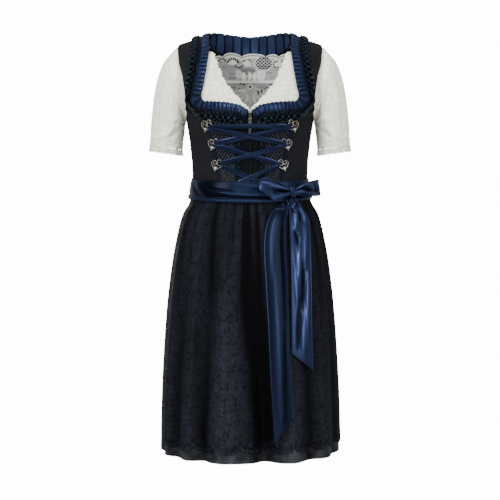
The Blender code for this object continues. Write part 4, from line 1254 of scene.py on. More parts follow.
@dataclass
class NeckTrims:
    """Pleated satin ribbon, piping and ruched ribbon along the neckline and the centre."""

    finishes: Finishes
    bodice: Bodice
    base: float = 0.0046
    cloth: float = 0.0009
    pleats: Pair = (0.0, 0.0168)
    piping: Pair = (0.0188, 0.0216)
    ruche: Pair = (0.0226, 0.0418)
    front_pitch: float = 0.0098
    back_pitch: float = 0.02
    pleat_rise: float = 0.003
    ruche_pitch: float = 0.0138
    ruche_rise: float = 0.006
    end: Pair = (0.0045, -0.1795)
    # Top of the ribbon that stands at the back of the neck: x and real height.
    stand_top: Rows = (
        (0.0, -0.004), (0.037, -0.0018), (0.072, 0.0008), (0.086, -0.0002), (0.096, -0.003),
    )
    stand_foot: float = 0.008
    most_x: float = 0.1425
    ridge_share: float = 0.03
    fine: float = 0.0011
    centre_x: float = 0.0265
    centre_half: float = 0.007
    centre_low: float = 0.16
    centre_run: Pair = (-0.23, -0.339)
    seam_top: float = -0.206
    seam_half: float = 0.0019
    # How much longer the pleated and the ruched ribbons were cut than they lie.
    pleat_fuller: float = 1.25
    ruche_fuller: float = 1.15
    # Where a knife pleat is highest, as a share of its pitch, and the hollow of a box pleat.
    pleat_crest: float = 0.86
    box_hollow: float = 0.0016
    frill: float = 0.0016
    # How far the ruches and the pleats lie off the neckline's base.
    ruche_foot: float = 0.0012
    front_foot: float = 0.001
    back_foot: float = 0.0016
    # A frog-mouth ruche: how far its pinches draw it in, where a mouth opens and how wide it
    # is, how wide the waist between two mouths is, and how high mouth, waist and folds stand.
    pinch: float = 0.2
    mouth: Pair = (0.6, 0.2)
    waist: float = 0.42
    heights: Triple = (0.74, 0.86, 0.16)
    # How sharply the ruche's painted light falls from its highest places to painted shade in its
    # hollows.
    ruche_contrast: float = 2.4

    def spaced(self, line: Array, back: bool) -> tuple[Array, Array]:
        """A line on the form at fine even distances.

        Args:
            line: Its corners, as x and nominal height.
            back: Whether it lies on the back.

        Returns:
            Its places and their distances from its start.
        """
        corners = np.asarray(line, float)
        legs = distances(corners)
        even = shares(900) ** 2 * legs[-1]
        places = np.stack([np.interp(even, legs, corners[:, i]) for i in (0, 1)], axis=1)
        points = FIGURE.at(places, np.full(len(places), self.base), back)
        run = distances(points)
        along = np.linspace(0.0, run[-1], max(int(run[-1] / self.fine), 12))
        return np.stack([np.interp(along, run, places[:, i]) for i in (0, 1)], axis=1), along

    def beside(self, line: Array, width: Array) -> Array:
        """A line moved sideways by a width, away from the neckline.

        Args:
            line: The line's places.
            width: How far it moves.

        Returns:
            The moved places.
        """
        ahead = softened(np.gradient(line, axis=0))
        ahead /= np.linalg.norm(ahead, axis=1, keepdims=True)
        moved = line + np.stack([-ahead[:, 1], ahead[:, 0]], axis=1) * np.reshape(width, (-1, 1))
        moved[:, 0] = np.minimum(moved[:, 0], np.maximum(line[:, 0], self.most_x))
        near_ridge = np.clip(-line[:, 1] / self.ridge_share, 0.0, 1.0)
        moved[:, 1] = line[:, 1] + (moved[:, 1] - line[:, 1]) * near_ridge
        moved[:, 1] = np.minimum(moved[:, 1], 0.0)
        return moved

    def pleat_lift(self, along: Array, pitch: float) -> Array:
        """Height of knife pleats: each rises slowly and falls under the next one."""
        phase = (along / pitch) % 1.0
        return np.where(phase < self.pleat_crest, phase / self.pleat_crest,
                        (1.0 - phase) / (1.0 - self.pleat_crest))

    def box_lift(self, along: Array, pitch: float) -> Array:
        """Height of box pleats: flat, with a narrow hollow between two."""
        phase = (along / pitch) % 1.0
        off = np.minimum(phase, 1.0 - phase) * pitch
        return 1.0 - bell(off / self.box_hollow)

    def strip(self, name: str, line: Array, widths: list[Array],
              outs: list[Array], side: Side, back: bool, look: Look,
              held: Held | None = None, fuller: float = 1.0,
              light_and_pattern: Array | None = None) -> None:
        """Build one strip of trim.

        Args:
            name: Its name, also that of its solid.
            line: The neckline's places.
            widths: How far each of its rows lies from the neckline.
            outs: How far each row lies out from the form.
            side: The half that it lies on.
            back: Whether it lies on the back.
            look: Its finish.
            held: How it is held, or None where it is a cord's cover.
            fuller: How much longer it was cut than it lies.
            light_and_pattern: How light it is painted, one where it lies high and zero in its
                shaded hollows.
        """
        rows = [FIGURE.at(self.beside(line, width), out, back) for width, out in zip(widths, outs)]
        grid = flipped(np.array(rows), side)
        grid[..., 1] += self.bodice.apart(back)
        under = ("centre_back",) if back else (f"side_front_{side.hand}",)
        TrimSheet(name, grid, look, held or Held.HUNG, under, self.cloth, fuller=fuller,
                  light_and_pattern=light_and_pattern, declared=held is not None,
                  facing=np.array([0.0, 1.0 if back else -1.0, 0.55])).build()

    def ruche_rows(self, along: Array, band: Pair, rows: int = 17,
                   low: float = 1.0) -> tuple[list[Array], list[Array], Array]:
        """Widths and outs of a frog-mouth ruche.

        Args:
            along: Distances along the ribbon.
            band: Its inner and outer side.
            rows: How many rows it has across.
            low: Share of its full rise where it is pressed down.

        Returns:
            The widths and the outs, row by row, and how high each place lies, raised to a power,
            which is painted as its light and shade.
        """
        phase = math.tau * along / self.ruche_pitch
        middle, half = (band[0] + band[1]) / 2, (band[1] - band[0]) / 2
        mouths, waists, folds = self.heights
        widths, outs, high = [], [], []
        for across in np.linspace(-1.0, 1.0, rows):
            pinch = 1.0 - self.pinch * (0.5 + 0.5 * np.cos(phase)) * abs(across)
            widths.append(middle + half * across * pinch)
            open_end = 0.5 - 0.5 * np.cos(phase)
            mouth = open_end * bell((abs(across) - self.mouth[0]) / self.mouth[1])
            waist = (1.0 - open_end) * bell(across / self.waist)
            fold = 0.5 + 0.5 * np.sin(3.0 * phase + 3.2 * across)
            rise = np.clip(mouths * mouth + waists * waist + folds * fold, 0.0, 1.0)
            outs.append(self.base + self.ruche_foot * low + self.ruche_rise * low * rise)
            high.append(rise)
        return widths, outs, np.array(high) ** self.ruche_contrast

    def rounded(self, band: Pair, count: int,
                high: float = 0.0015) -> tuple[list[Array], list[Array]]:
        """Widths and outs of a small round piping.

        Args:
            band: Its inner and outer side.
            count: How many places it has.
            high: How far out it stands.

        Returns:
            The widths and the outs, row by row.
        """
        turns = np.linspace(-1.0, 1.0, 7)
        middle, half = (band[0] + band[1]) / 2, (band[1] - band[0]) / 2
        widths = [np.full(count, middle + half * turn) for turn in turns]
        outs = [np.full(count, self.base + high * math.sqrt(max(1.0 - turn ** 2, 0.0)))
                for turn in turns]
        return widths, outs

    def build_front(self, side: Side) -> None:
        """Build the trims of one half of the front neckline.

        Args:
            side: The half that they lie on.
        """
        neck = np.array(self.bodice.neck_side)[::-1, ::-1]
        foot = np.array(self.bodice.neck_bottom)[-2:0:-1]
        line, along = self.spaced(np.concatenate([neck, foot, [self.end]]), False)
        hand, looks = side.hand, self.finishes
        lift = self.pleat_lift(along, self.front_pitch)
        widths, outs = [], []
        for share in shares(9):
            frill = self.frill * (1.0 - share) ** 3 * np.sin(math.tau * along / self.front_pitch)
            widths.append(self.pleats[0] + (self.pleats[1] - self.pleats[0]) * share - frill * 0.5)
            flat = 1.0 - 0.62 * share ** 3
            outs.append(self.base + self.front_foot + self.pleat_rise * lift * flat + frill * 0.6)
        # Painted light on the pleats: lit as each one rises, painted shade where it falls under
        # the next.
        light_and_pattern = 0.1 + 0.75 * np.tile(lift, (len(outs), 1))
        self.strip(f"neck_pleats_{hand}", line, widths, outs, side, False, looks.satin,
                   Held.GATHERED, self.pleat_fuller, light_and_pattern)
        widths, outs = self.rounded(self.piping, len(line))
        self.strip(f"neck_piping_{hand}", line, widths, outs, side, False, looks.piping)
        widths, outs, high = self.ruche_rows(along, self.ruche)
        self.strip(f"neck_ruche_{hand}", line, widths, outs, side, False, looks.ruche,
                   Held.GATHERED, self.ruche_fuller, high)

    def build_centre(self, side: Side) -> None:
        """Build one upright ruche and the piping on one princess seam.

        Args:
            side: The half that they lie on.
        """
        top, low = self.centre_run
        line, along = self.spaced(np.array([(self.centre_x, top), (self.centre_x, low)]), False)
        band = (-self.centre_half, self.centre_half)
        widths, outs, high = self.ruche_rows(along, band, 13, self.centre_low)
        self.strip(f"centre_ruche_{side.hand}", line, widths, outs, side, False,
                   self.finishes.ruche, Held.GATHERED, self.ruche_fuller, high)
        seam = np.array([(x, height) for height, x in self.bodice.princess
                         if height < self.seam_top])
        last = [[float(column(self.bodice.princess, self.seam_top)), self.seam_top]]
        line, _ = self.spaced(np.concatenate([seam, last]), False)
        widths, outs = self.rounded((-self.seam_half, self.seam_half), len(line))
        self.strip(f"princess_piping_{side.hand}", line, widths, outs, side, False,
                   self.finishes.piping)

    def build_back(self) -> None:
        """Build the trims of the back neckline, whose pleated ribbon stands above it."""
        half, _ = self.spaced(np.array(self.bodice.back_neck)[::-1], True)
        line = np.concatenate([half, (half * np.array([-1.0, 1.0]))[-2::-1]])
        along = self.fine * np.arange(len(line))
        standing = line.copy()
        stand_top = column(self.stand_top, np.abs(line[:, 0]))
        standing[:, 1] = np.maximum(line[:, 1], FIGURE.nominal(line[:, 0], stand_top))
        share = np.abs(line[:, 0]) / self.bodice.back_neck[-1][0]
        sewn = self.beside(line, self.stand_foot + (self.pleats[1] - self.stand_foot) * share ** 2)
        lift = self.box_lift(along, self.back_pitch)
        rows = []
        for down in shares(12):
            edge = standing + (sewn - standing) * down
            flat = 1.0 - 0.5 * down ** 3
            out = self.base + self.back_foot + self.pleat_rise * 0.8 * lift * flat
            rows.append(FIGURE.at(edge, out, True))
        grid = np.array(rows)
        grid[..., 1] += self.bodice.apart(True)
        raised = 0.5 + 0.5 * np.tanh(6.0 * np.sin(math.pi * along / self.back_pitch))
        # Every other box pleat is painted a little lighter, as if it faced the light, and with a
        # painted highlight; the hollows get painted shade that is nearly black.
        light_and_pattern = (1.3 + 0.35 * raised) * (0.14 + 0.86 * lift)
        TrimSheet("neck_pleats_back", grid, self.finishes.satin, Held.GATHERED,
                  ("centre_back",), self.cloth, fuller=self.pleat_fuller,
                  light_and_pattern=np.tile(light_and_pattern, (len(grid), 1)), facing=np.array([0.0, 1.0, 0.4])).build()
        widths, outs = self.rounded(self.piping, len(line))
        self.strip("neck_piping_back", line, widths, outs, Side.RIGHT, True, self.finishes.piping)
        widths, outs, high = self.ruche_rows(along, self.ruche)
        self.strip("neck_ruche_back", line, widths, outs, Side.RIGHT, True,
                   self.finishes.ruche, Held.GATHERED, self.ruche_fuller, high)

    def build(self) -> None:
        """Build all trims."""
        for side in Side:
            self.build_front(side)
            self.build_centre(side)
        self.build_back()


@dataclass
class TrimSheet(Sheet):
    """A strip of cloth whose face is known by the direction that it faces."""

    declared: bool = True
    facing: Array = field(default_factory=lambda: np.array([0.0, -1.0, 0.0]))

    def normals(self) -> Array:
        """Normals on the side that the strip faces."""
        normal = grid_normals(self.outer, self.closed)
        return normal * np.sign((normal * self.facing).sum(axis=-1).mean())

    def declare(self, piece: bpy.types.Object, along: Array, down: Array) -> None:
        """Args:
            piece: The finished piece.
            along: Flat places of the columns.
            down: Flat places of the rows.
        """
        if self.declared:
            super().declare(piece, along, down)
            return
        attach(piece, GARMENT)
        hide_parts(self.name)
        LOG.info("%s: %.3f m long", self.name, float(along[-1]))


@dataclass
class LaceDrawing:
    """The pattern of the lace back: borders, fans of slots, a net, leaves and eyelets.

    Places are x and real height in metres. Light threads are one, the plain net is a half and
    hollows are zero.
    """

    net: float = 0.5
    # Value of the thread round a hollow patch, of the petals and of the ring at their heart.
    rim: float = 0.85
    petal: float = 0.76
    heart: float = 0.92
    # Scallops of the top edge: where each starts in x, and its rise above the low points.
    scallops: Rows = (
        (-0.125, 0.008), (-0.09, 0.008), (-0.0595, 0.009), (-0.0243, 0.0085), (0.0097, 0.0125),
        (0.0548, 0.0045), (0.0779, 0.009), (0.105, 0.008),
    )
    # Bands along the top edge: distance below it, half width, value.
    borders: Rows = ((0.0012, 0.0014, 0.95), (0.0044, 0.0009, 0.12), (0.008, 0.0024, 0.92))
    # Bands straight across: height, half width, value.
    bands: Rows = (
        (-0.1065, 0.0034, 0.88), (-0.112, 0.001, 0.2), (-0.07, 0.001, 0.36),
        (-0.0745, 0.0009, 0.42), (-0.135, 0.001, 0.62), (-0.145, 0.0012, 0.64),
    )
    # Patches: x, height, half width, half height, value.
    patches: Rows = (
        (-0.009, -0.08, 0.0245, 0.012, 0.22), (-0.044, -0.056, 0.016, 0.009, 0.86),
        (-0.007, -0.056, 0.015, 0.008, 0.84), (0.033, -0.062, 0.0235, 0.018, 0.9),
        (0.066, -0.062, 0.013, 0.013, 0.8), (-0.012, -0.068, 0.02, 0.004, 0.84),
        (-0.015, -0.094, 0.0055, 0.011, 0.88), (-0.001, -0.092, 0.005, 0.011, 0.9),
        (0.011, -0.094, 0.005, 0.0105, 0.88), (0.027, -0.09, 0.011, 0.015, 0.8),
        (-0.027, -0.088, 0.009, 0.011, 0.74), (-0.045, -0.087, 0.012, 0.0026, 0.34),
        (-0.044, -0.098, 0.013, 0.0046, 0.34), (0.048, -0.085, 0.01, 0.004, 0.34),
        (0.056, -0.096, 0.011, 0.0034, 0.36), (-0.064, -0.07, 0.005, 0.007, 0.34),
        (-0.041, -0.12, 0.01, 0.004, 0.3), (-0.018, -0.128, 0.01, 0.004, 0.72),
        (0.032, -0.119, 0.018, 0.006, 0.34), (0.018, -0.133, 0.006, 0.003, 0.76),
        (-0.006, -0.145, 0.0035, 0.01, 0.72), (0.01, -0.148, 0.0035, 0.01, 0.7),
    )
    # Petals that ray out of the eyelet: first and last angle in degrees, how many.
    rays: tuple[float, float, int] = (190.0, 350.0, 9)
    eyelet: Pair = (0.0006, -0.1187)
    # Arcs of slots: x, height, radii across and up, first and last angle, slots, slot size.
    arcs: Rows = (
        (-0.0425, -0.0615, 0.0135, 0.0115, 175.0, 5.0, 8.0, 0.0021),
        (-0.007, -0.0605, 0.012, 0.0085, 160.0, 10.0, 6.0, 0.0019),
        (-0.028, -0.058, 0.014, 0.013, 230.0, 330.0, 5.0, 0.0019),
        (0.0655, -0.064, 0.0075, 0.008, 60.0, 300.0, 7.0, 0.0017),
        (-0.069, -0.059, 0.01, 0.009, 160.0, 20.0, 5.0, 0.0018),
        (0.085, -0.062, 0.008, 0.008, 170.0, 10.0, 5.0, 0.0016),
    )
    lattice: tuple[float, float, float, float] = (0.0335, -0.061, 0.0205, 0.0165)
    lattice_pitch: float = 0.009
    # Round holes: x, height, radius.
    holes: Rows = (
        (0.0006, -0.1187, 0.0029), (-0.023, -0.1113, 0.0018), (-0.0148, -0.1128, 0.0021),
        (0.019, -0.131, 0.0022), (0.0215, -0.135, 0.0022), (0.029, -0.1282, 0.0022),
        (0.028, -0.132, 0.0015), (0.0405, -0.1215, 0.0018), (0.05, -0.113, 0.0018),
        (-0.026, -0.123, 0.0014), (0.036, -0.124, 0.0014),
    )

    def scallop(self, x: Array) -> Array:
        """Rise of the top edge at each x.

        Args:
            x: Places across.

        Returns:
            The rise of each place.
        """
        starts = np.array([row[0] for row in self.scallops])
        rises = np.array([row[1] for row in self.scallops])
        here = np.clip(np.searchsorted(starts, x, side="right") - 1, 0, len(starts) - 2)
        share = np.clip((x - starts[here]) / (starts[here + 1] - starts[here]), 0.0, 1.0)
        return rises[here] * np.sqrt(np.sin(math.pi * share))

    def drawn(self, x: Array, z: Array, from_top: Array) -> tuple[Array, Array]:
        """Draw the pattern.

        Args:
            x: Places across.
            z: Real heights.
            from_top: Distances below the scalloped edge.

        Returns:
            The value of the threads, and how open the lace is, at each place.
        """
        value = np.full(x.shape, self.net)
        for middle_x, middle_z, half_x, half_z, tone in self.patches:
            share = ((x - middle_x) / half_x) ** 2 + ((z - middle_z) / half_z) ** 2
            value = value + (tone - value) * np.clip((1.15 - share) / 0.3, 0.0, 1.0)
            line = bell((np.sqrt(share) - 1.0) / 0.1) * (tone < self.net)
            value = value + (self.rim - value) * 0.6 * line
        off_x, off_z = x - self.eyelet[0], z - self.eyelet[1]
        reach, turn = np.hypot(off_x, off_z), np.degrees(np.arctan2(off_z, off_x)) % 360.0
        first, last, count = self.rays
        ray = (turn - first) / (last - first) * count
        petal = bell((ray % 1.0 - 0.5) / 0.2) * (ray > 0.0) * (ray < count)
        petal = petal * np.clip((reach - 0.007) / 0.002, 0.0, 1.0)
        petal = petal * np.clip((0.048 - reach) / 0.01, 0.0, 1.0)
        value = value + (self.petal - value) * 0.75 * petal
        value = value + (self.heart - value) * bell((reach - 0.0052) / 0.0014)
        for height, half, tone in self.bands:
            value = value + (tone - value) * bell((z - height) / half)
        for below, half, tone in self.borders:
            value = value + (tone - value) * bell((from_top - below) / half)
        open_share = np.maximum(self.slots(x, z), self.lattice_gaps(x, z))
        for hole_x, hole_z, radius in self.holes:
            off = np.hypot(x - hole_x, z - hole_z) / radius
            open_share = np.maximum(open_share, np.clip((1.25 - off) / 0.5, 0.0, 1.0))
        return value * (1.0 - 0.95 * open_share), open_share

    def slots(self, x: Array, z: Array) -> Array:
        """How open the arcs of slots make the lace.

        Args:
            x: Places across.
            z: Real heights.

        Returns:
            One in a slot and zero beside it.
        """
        open_share = np.zeros(x.shape)
        for middle_x, middle_z, wide, tall, first, last, count, size in self.arcs:
            for step in range(int(count)):
                turn = math.radians(first + (last - first) * (step + 0.5) / count)
                off_x = x - middle_x - wide * math.cos(turn)
                off_z = z - middle_z - tall * math.sin(turn)
                along = off_x * math.cos(turn) + off_z * math.sin(turn)
                aside = off_z * math.cos(turn) - off_x * math.sin(turn)
                off = (along / (size * 1.35)) ** 2 + (aside / (size * 0.8)) ** 2
                open_share = np.maximum(open_share, np.clip((1.35 - off) / 0.6, 0.0, 1.0))
        return open_share

    def lattice_gaps(self, x: Array, z: Array) -> Array:
        """How open the diamonds of the net patch make the lace.

        Args:
            x: Places across.
            z: Real heights.

        Returns:
            One in a gap and zero beside it.
        """
        middle_x, middle_z, wide, tall = self.lattice
        u = (x - middle_x) / self.lattice_pitch + (z - middle_z) / (self.lattice_pitch * 0.9)
        v = (x - middle_x) / self.lattice_pitch - (z - middle_z) / (self.lattice_pitch * 0.9)
        off = np.maximum(np.abs(u % 1.0 - 0.5), np.abs(v % 1.0 - 0.5))
        inside = ((x - middle_x) / wide) ** 2 + ((z - middle_z) / tall) ** 2
        return np.clip((0.4 - off) / 0.08, 0.0, 1.0) * (inside < 1.0)


@dataclass
class Blouse:
    """The lace blouse that shows in the neckline: two fronts, two backs and the lace back."""

    finishes: Finishes
    bodice: Bodice
    out: float = -0.0022
    cloth: float = 0.0009
    hem: float = -0.235
    wider: float = 2.2
    scallop_pitch: float = 0.02
    scallop: float = 0.0048
    tooth_pitch: float = 0.0068
    tooth: float = 0.0034
    lace_top: float = -0.045
    lace_relief: float = 0.0009
    lace_rows: int = 214
    lace_columns: int = 176
    neck: Rows = (
        (-0.235, 0.001), (-0.183, 0.0015), (-0.143, 0.04), (-0.112, 0.0645), (-0.074, 0.081),
        (-0.047, 0.0905), (-0.041, 0.101), (0.0, 0.107),
    )
    back_edge: Rows = ((-0.235, 0.07), (-0.1, 0.086), (-0.041, 0.1), (0.0, 0.107))
    rows: int = 124
    columns: int = 27
    neck_foot: float = -0.183
    drape: float = 0.0008

    def wavy_neck(self, height: Array) -> Array:
        """Angle of the front's scalloped edge.

        Args:
            height: Nominal heights.

        Returns:
            The angles in radians.
        """
        wave = np.sqrt(np.abs(np.sin(math.pi * height / self.scallop_pitch)))
        teeth = np.abs(np.sin(math.pi * height / self.tooth_pitch))
        grown = self.scallop * wave + self.tooth * teeth
        x = column(self.neck, height) - grown * (height > self.neck_foot)
        return FIGURE.angle_at(np.maximum(x, 0.0006), height)

    def lace_edge(self, height: Array) -> Array:
        """Angle at which a side back meets the lace back."""
        return FIGURE.angle_at(column(self.back_edge, height), height, back=True)

    def fronts_and_backs(self, side: Side) -> None:
        """Build one front and one side back.

        Args:
            side: The half that they lie on.
        """
        cut = Bodice(self.finishes, rows=self.rows, columns=self.columns)
        front = cut.places(self.hem, lambda part: 0.0, self.wavy_neck,
                           lambda height: self.bodice.outer_edge(height, False, self.wider))
        rear = cut.places(self.hem, lambda part: 0.0,
                          lambda height: self.bodice.outer_edge(height, True, self.wider),
                          lambda height: self.lace_edge(height) - self.bodice.gap_angle())
        for word, places, back in (("front", front, False), ("back", rear, True)):
            angles, heights = places
            drape = self.drape * np.sin(angles * 9.0 + heights * 38.0)
            grid = flipped(FIGURE.laid(angles, heights, self.out + drape - self.drape), side)
            grid[..., 1] += self.bodice.apart(back)
            Sheet(f"blouse_{word}_{side.hand}", grid[::-1], self.finishes.blouse,
                  Held.STRETCHED, (f"sleeve_{side.hand}",), self.cloth).build()

    def lace_back(self) -> None:
        """Build the lace back with its scallops, raised flowers and holes."""
        share, across = shares(self.lace_rows), shares(self.lace_columns)
        x_top = self.back_edge[-2][1] * (2.0 * across - 1.0)
        drawing = LaceDrawing()
        top = FIGURE.nominal(x_top, self.lace_top + drawing.scallop(x_top))
        heights = self.hem + (top[None, :] - self.hem) * share[:, None] ** 0.8
        start = self.lace_edge(heights) + self.bodice.gap_angle()
        angles = start + (math.tau - 2.0 * start) * across[None, :]
        base = FIGURE.form(angles, heights)
        from_top = base[-1:, :, 2] - base[..., 2]
        light_and_pattern, open_share = drawing.drawn(base[..., 0], base[..., 2], from_top)
        out = self.out - 0.0012 + self.lace_relief * light_and_pattern
        grid = FIGURE.laid(angles, heights, out)
        grid[..., 1] += self.bodice.apart(True)
        middle = (open_share[1:, 1:] + open_share[:-1, :-1] + open_share[1:, :-1]
                  + open_share[:-1, 1:]) / 4.0
        Sheet("blouse_lace_back", grid[::-1], self.finishes.back_lace, Held.STRETCHED,
              ("blouse_back_left", "blouse_back_right"), 0.0008,
              holes=(middle > 0.55)[::-1], light_and_pattern=light_and_pattern[::-1]).build()

    def build(self) -> None:
        """Build the blouse's body."""
        for side in Side:
            self.fronts_and_backs(side)
        self.lace_back()


@dataclass
class Sleeves:
    """Two short lace sleeves, each with a seamed lace cuff and a scalloped hem."""

    finishes: Finishes
    bodice: Bodice
    wider: float = 2.2
    armhole_out: float = -0.0022
    clear: float = 0.0013
    underarm: float = -0.2
    middle_y: float = 0.004
    rows: int = 66
    columns: int = 136
    cuff_rows: int = 24
    cloth: float = 0.001
    hem_scallops: int = 34
    hem_depth: float = 0.0034
    scallop_width: float = 0.012
    cuff_depth: float = 0.03
    cap_gather: float = 0.0012
    cap_gathers: float = 24.0
    ripple: float = 0.0016
    ripples: float = 9.0
    # Raised rows of the cuff: share of its depth, half width of the row and height.
    cuff_rows_raised: Rows = ((1.0, 0.08, 0.001), (0.0, 0.07, 0.0014), (0.3, 0.05, 0.0007))
    # Rows of holes in the cuff: how many to a scallop, share of the depth, radius.
    cuff_holes: Rows = ((1.0, 0.82, 0.0016), (2.0, 0.6, 0.0011))
    # Top x, top height, underarm x, underarm height, half depth.
    rings: Rows = (
        (0.188, -0.0445, 0.1545, -0.207, 0.064), (0.205, -0.068, 0.1548, -0.215, 0.0635),
        (0.219, -0.105, 0.1552, -0.224, 0.062), (0.2285, -0.153, 0.1565, -0.235, 0.06),
        (0.2345, -0.205, 0.158, -0.244, 0.0585), (0.2375, -0.243, 0.1592, -0.252, 0.0575),
    )
    cuff: Rows = (
        (0.2378, -0.2436, 0.159, -0.2526, 0.0577), (0.2385, -0.259, 0.1598, -0.269, 0.0574),
        (0.2396, -0.2745, 0.16, -0.2855, 0.0571),
    )
    # Soft folds: turn and share of the length where each starts and ends, width, height.
    # A turn of 0.25 is the front, 0.5 the underarm and 0.75 the back.
    folds: Rows = (
        (0.47, 0.2, 0.3, 0.62, 0.03, 0.0034), (0.445, 0.3, 0.33, 0.86, 0.022, -0.0026),
        (0.43, 0.48, 0.23, 0.98, 0.026, 0.003), (0.4, 0.1, 0.27, 0.34, 0.028, -0.0022),
        (0.2, 0.05, 0.16, 0.55, 0.034, 0.002), (0.12, 0.4, 0.15, 0.96, 0.03, -0.0018),
        (0.53, 0.22, 0.7, 0.66, 0.03, 0.0034), (0.56, 0.36, 0.66, 0.9, 0.022, -0.0026),
        (0.575, 0.5, 0.78, 0.98, 0.026, 0.0028), (0.62, 0.12, 0.74, 0.36, 0.028, -0.0022),
        (0.83, 0.06, 0.86, 0.6, 0.034, 0.0018), (0.9, 0.42, 0.87, 0.95, 0.03, -0.0018),
        (0.34, 0.66, 0.29, 0.99, 0.018, -0.002), (0.02, 0.3, 0.05, 0.9, 0.03, 0.0016),
    )

    def armhole_ring(self) -> Array:
        """The seam line of the right sleeve."""
        turn = math.tau * np.arange(self.columns) / self.columns
        height = self.underarm / 2.0 * (1.0 - np.cos(turn))
        front = self.bodice.outer_edge(height, False, self.wider)
        rear = self.bodice.outer_edge(height, True, self.wider)
        angle = np.where(turn <= math.pi, front, rear)
        ring = FIGURE.laid(angle, height, np.full(angle.shape, self.armhole_out))
        ring[:, 0] += self.clear
        return ring

    def ring(self, top_x: float, top_z: float, under_x: float, under_z: float,
             half_depth: float) -> Array:
        """One ring of a sleeve, from its top point round by the front.

        Args:
            top_x: Its top point's x.
            top_z: Its top point's height.
            under_x: Its lowest point's x.
            under_z: Its lowest point's height.
            half_depth: Half its depth from front to back.

        Returns:
            The points of the ring.
        """
        turn = math.tau * np.arange(self.columns) / self.columns
        middle = np.array([(top_x + under_x) / 2, self.middle_y, (top_z + under_z) / 2])
        upper = np.array([(top_x - under_x) / 2, 0.0, (top_z - under_z) / 2])
        ring = middle + np.cos(turn)[:, None] * upper
        ring[:, 1] -= half_depth * np.sin(turn)
        return ring

    def relief(self, share: Array) -> Array:
        """Soft folds and small gathers at the sleeve's head.

        Args:
            share: Share of the sleeve's length at each row.

        Returns:
            How far the cloth stands out, in rows and columns.
        """
        turn = np.arange(self.columns)[None, :] / self.columns
        down = share[:, None]
        out = np.zeros((len(share), self.columns))
        for turn0, down0, turn1, down1, half, height in self.folds:
            run = np.clip((down - down0) / (down1 - down0), 0.0, 1.0)
            off = (turn - turn0 - (turn1 - turn0) * run + 0.5) % 1.0 - 0.5
            beyond = np.minimum(down - down0, 0.0) + np.minimum(down1 - down, 0.0)
            out = out + height * bell(off / half) * bell(beyond / 0.07)
        cap = bell(((turn + 0.5) % 1.0 - 0.5) / 0.17) * bell(down / 0.12)
        out = out + self.cap_gather * cap * np.sin(math.tau * self.cap_gathers * turn)
        settled = np.clip(down / 0.05, 0.0, 1.0) * np.clip((1.0 - down) / 0.05, 0.25, 1.0)
        return out * settled

    def build_side(self, side: Side) -> None:
        """Build one sleeve and its cuff.

        Args:
            side: The half that they lie on.
        """
        keys = np.array([self.armhole_ring()] + [self.ring(*row) for row in self.rings])
        grid = smooth_rows(keys, self.rows)
        grid = grid + outward(grid, True) * self.relief(shares(self.rows))[..., None]
        Sheet(f"sleeve_{side.hand}", flipped(grid, side), self.finishes.blouse, Held.HUNG,
              (f"blouse_front_{side.hand}", f"blouse_back_{side.hand}"), self.cloth,
              closed=True).build()
        cuff = smooth_rows(np.array([self.ring(*row) for row in self.cuff]), self.cuff_rows)
        turn = np.arange(self.columns) / self.columns
        wave = np.sqrt(np.abs(np.sin(math.pi * turn * self.hem_scallops)))
        down = shares(self.cuff_rows)[:, None]
        cuff[..., 2] -= self.hem_depth * (wave[None, :] - 0.4) * down ** 3
        out = self.ripple * np.sin(math.tau * turn * self.ripples + 1.0)[None, :] * down
        for level, half, high in self.cuff_rows_raised:
            out = out + high * bell((down - level) / half)
        cuff = cuff + outward(cuff, True) * out[..., None]
        cells_down = (down[1:] + down[:-1]) / 2.0
        holes = np.zeros((len(cells_down), self.columns), bool)
        for times, level, radius in self.cuff_holes:
            phase = (turn * self.hem_scallops * times)[None, :] % 1.0 - 0.5
            holes |= np.hypot(phase * self.scallop_width / times,
                              (cells_down - level) * self.cuff_depth) < radius
        Sheet(f"cuff_lace_{side.hand}", flipped(cuff, side), self.finishes.cuff, Held.HUNG,
              (f"sleeve_{side.hand}",), self.cloth, closed=True, holes=holes).build()

    def build(self) -> None:
        """Build both sleeves."""
        for side in Side:
            self.build_side(side)


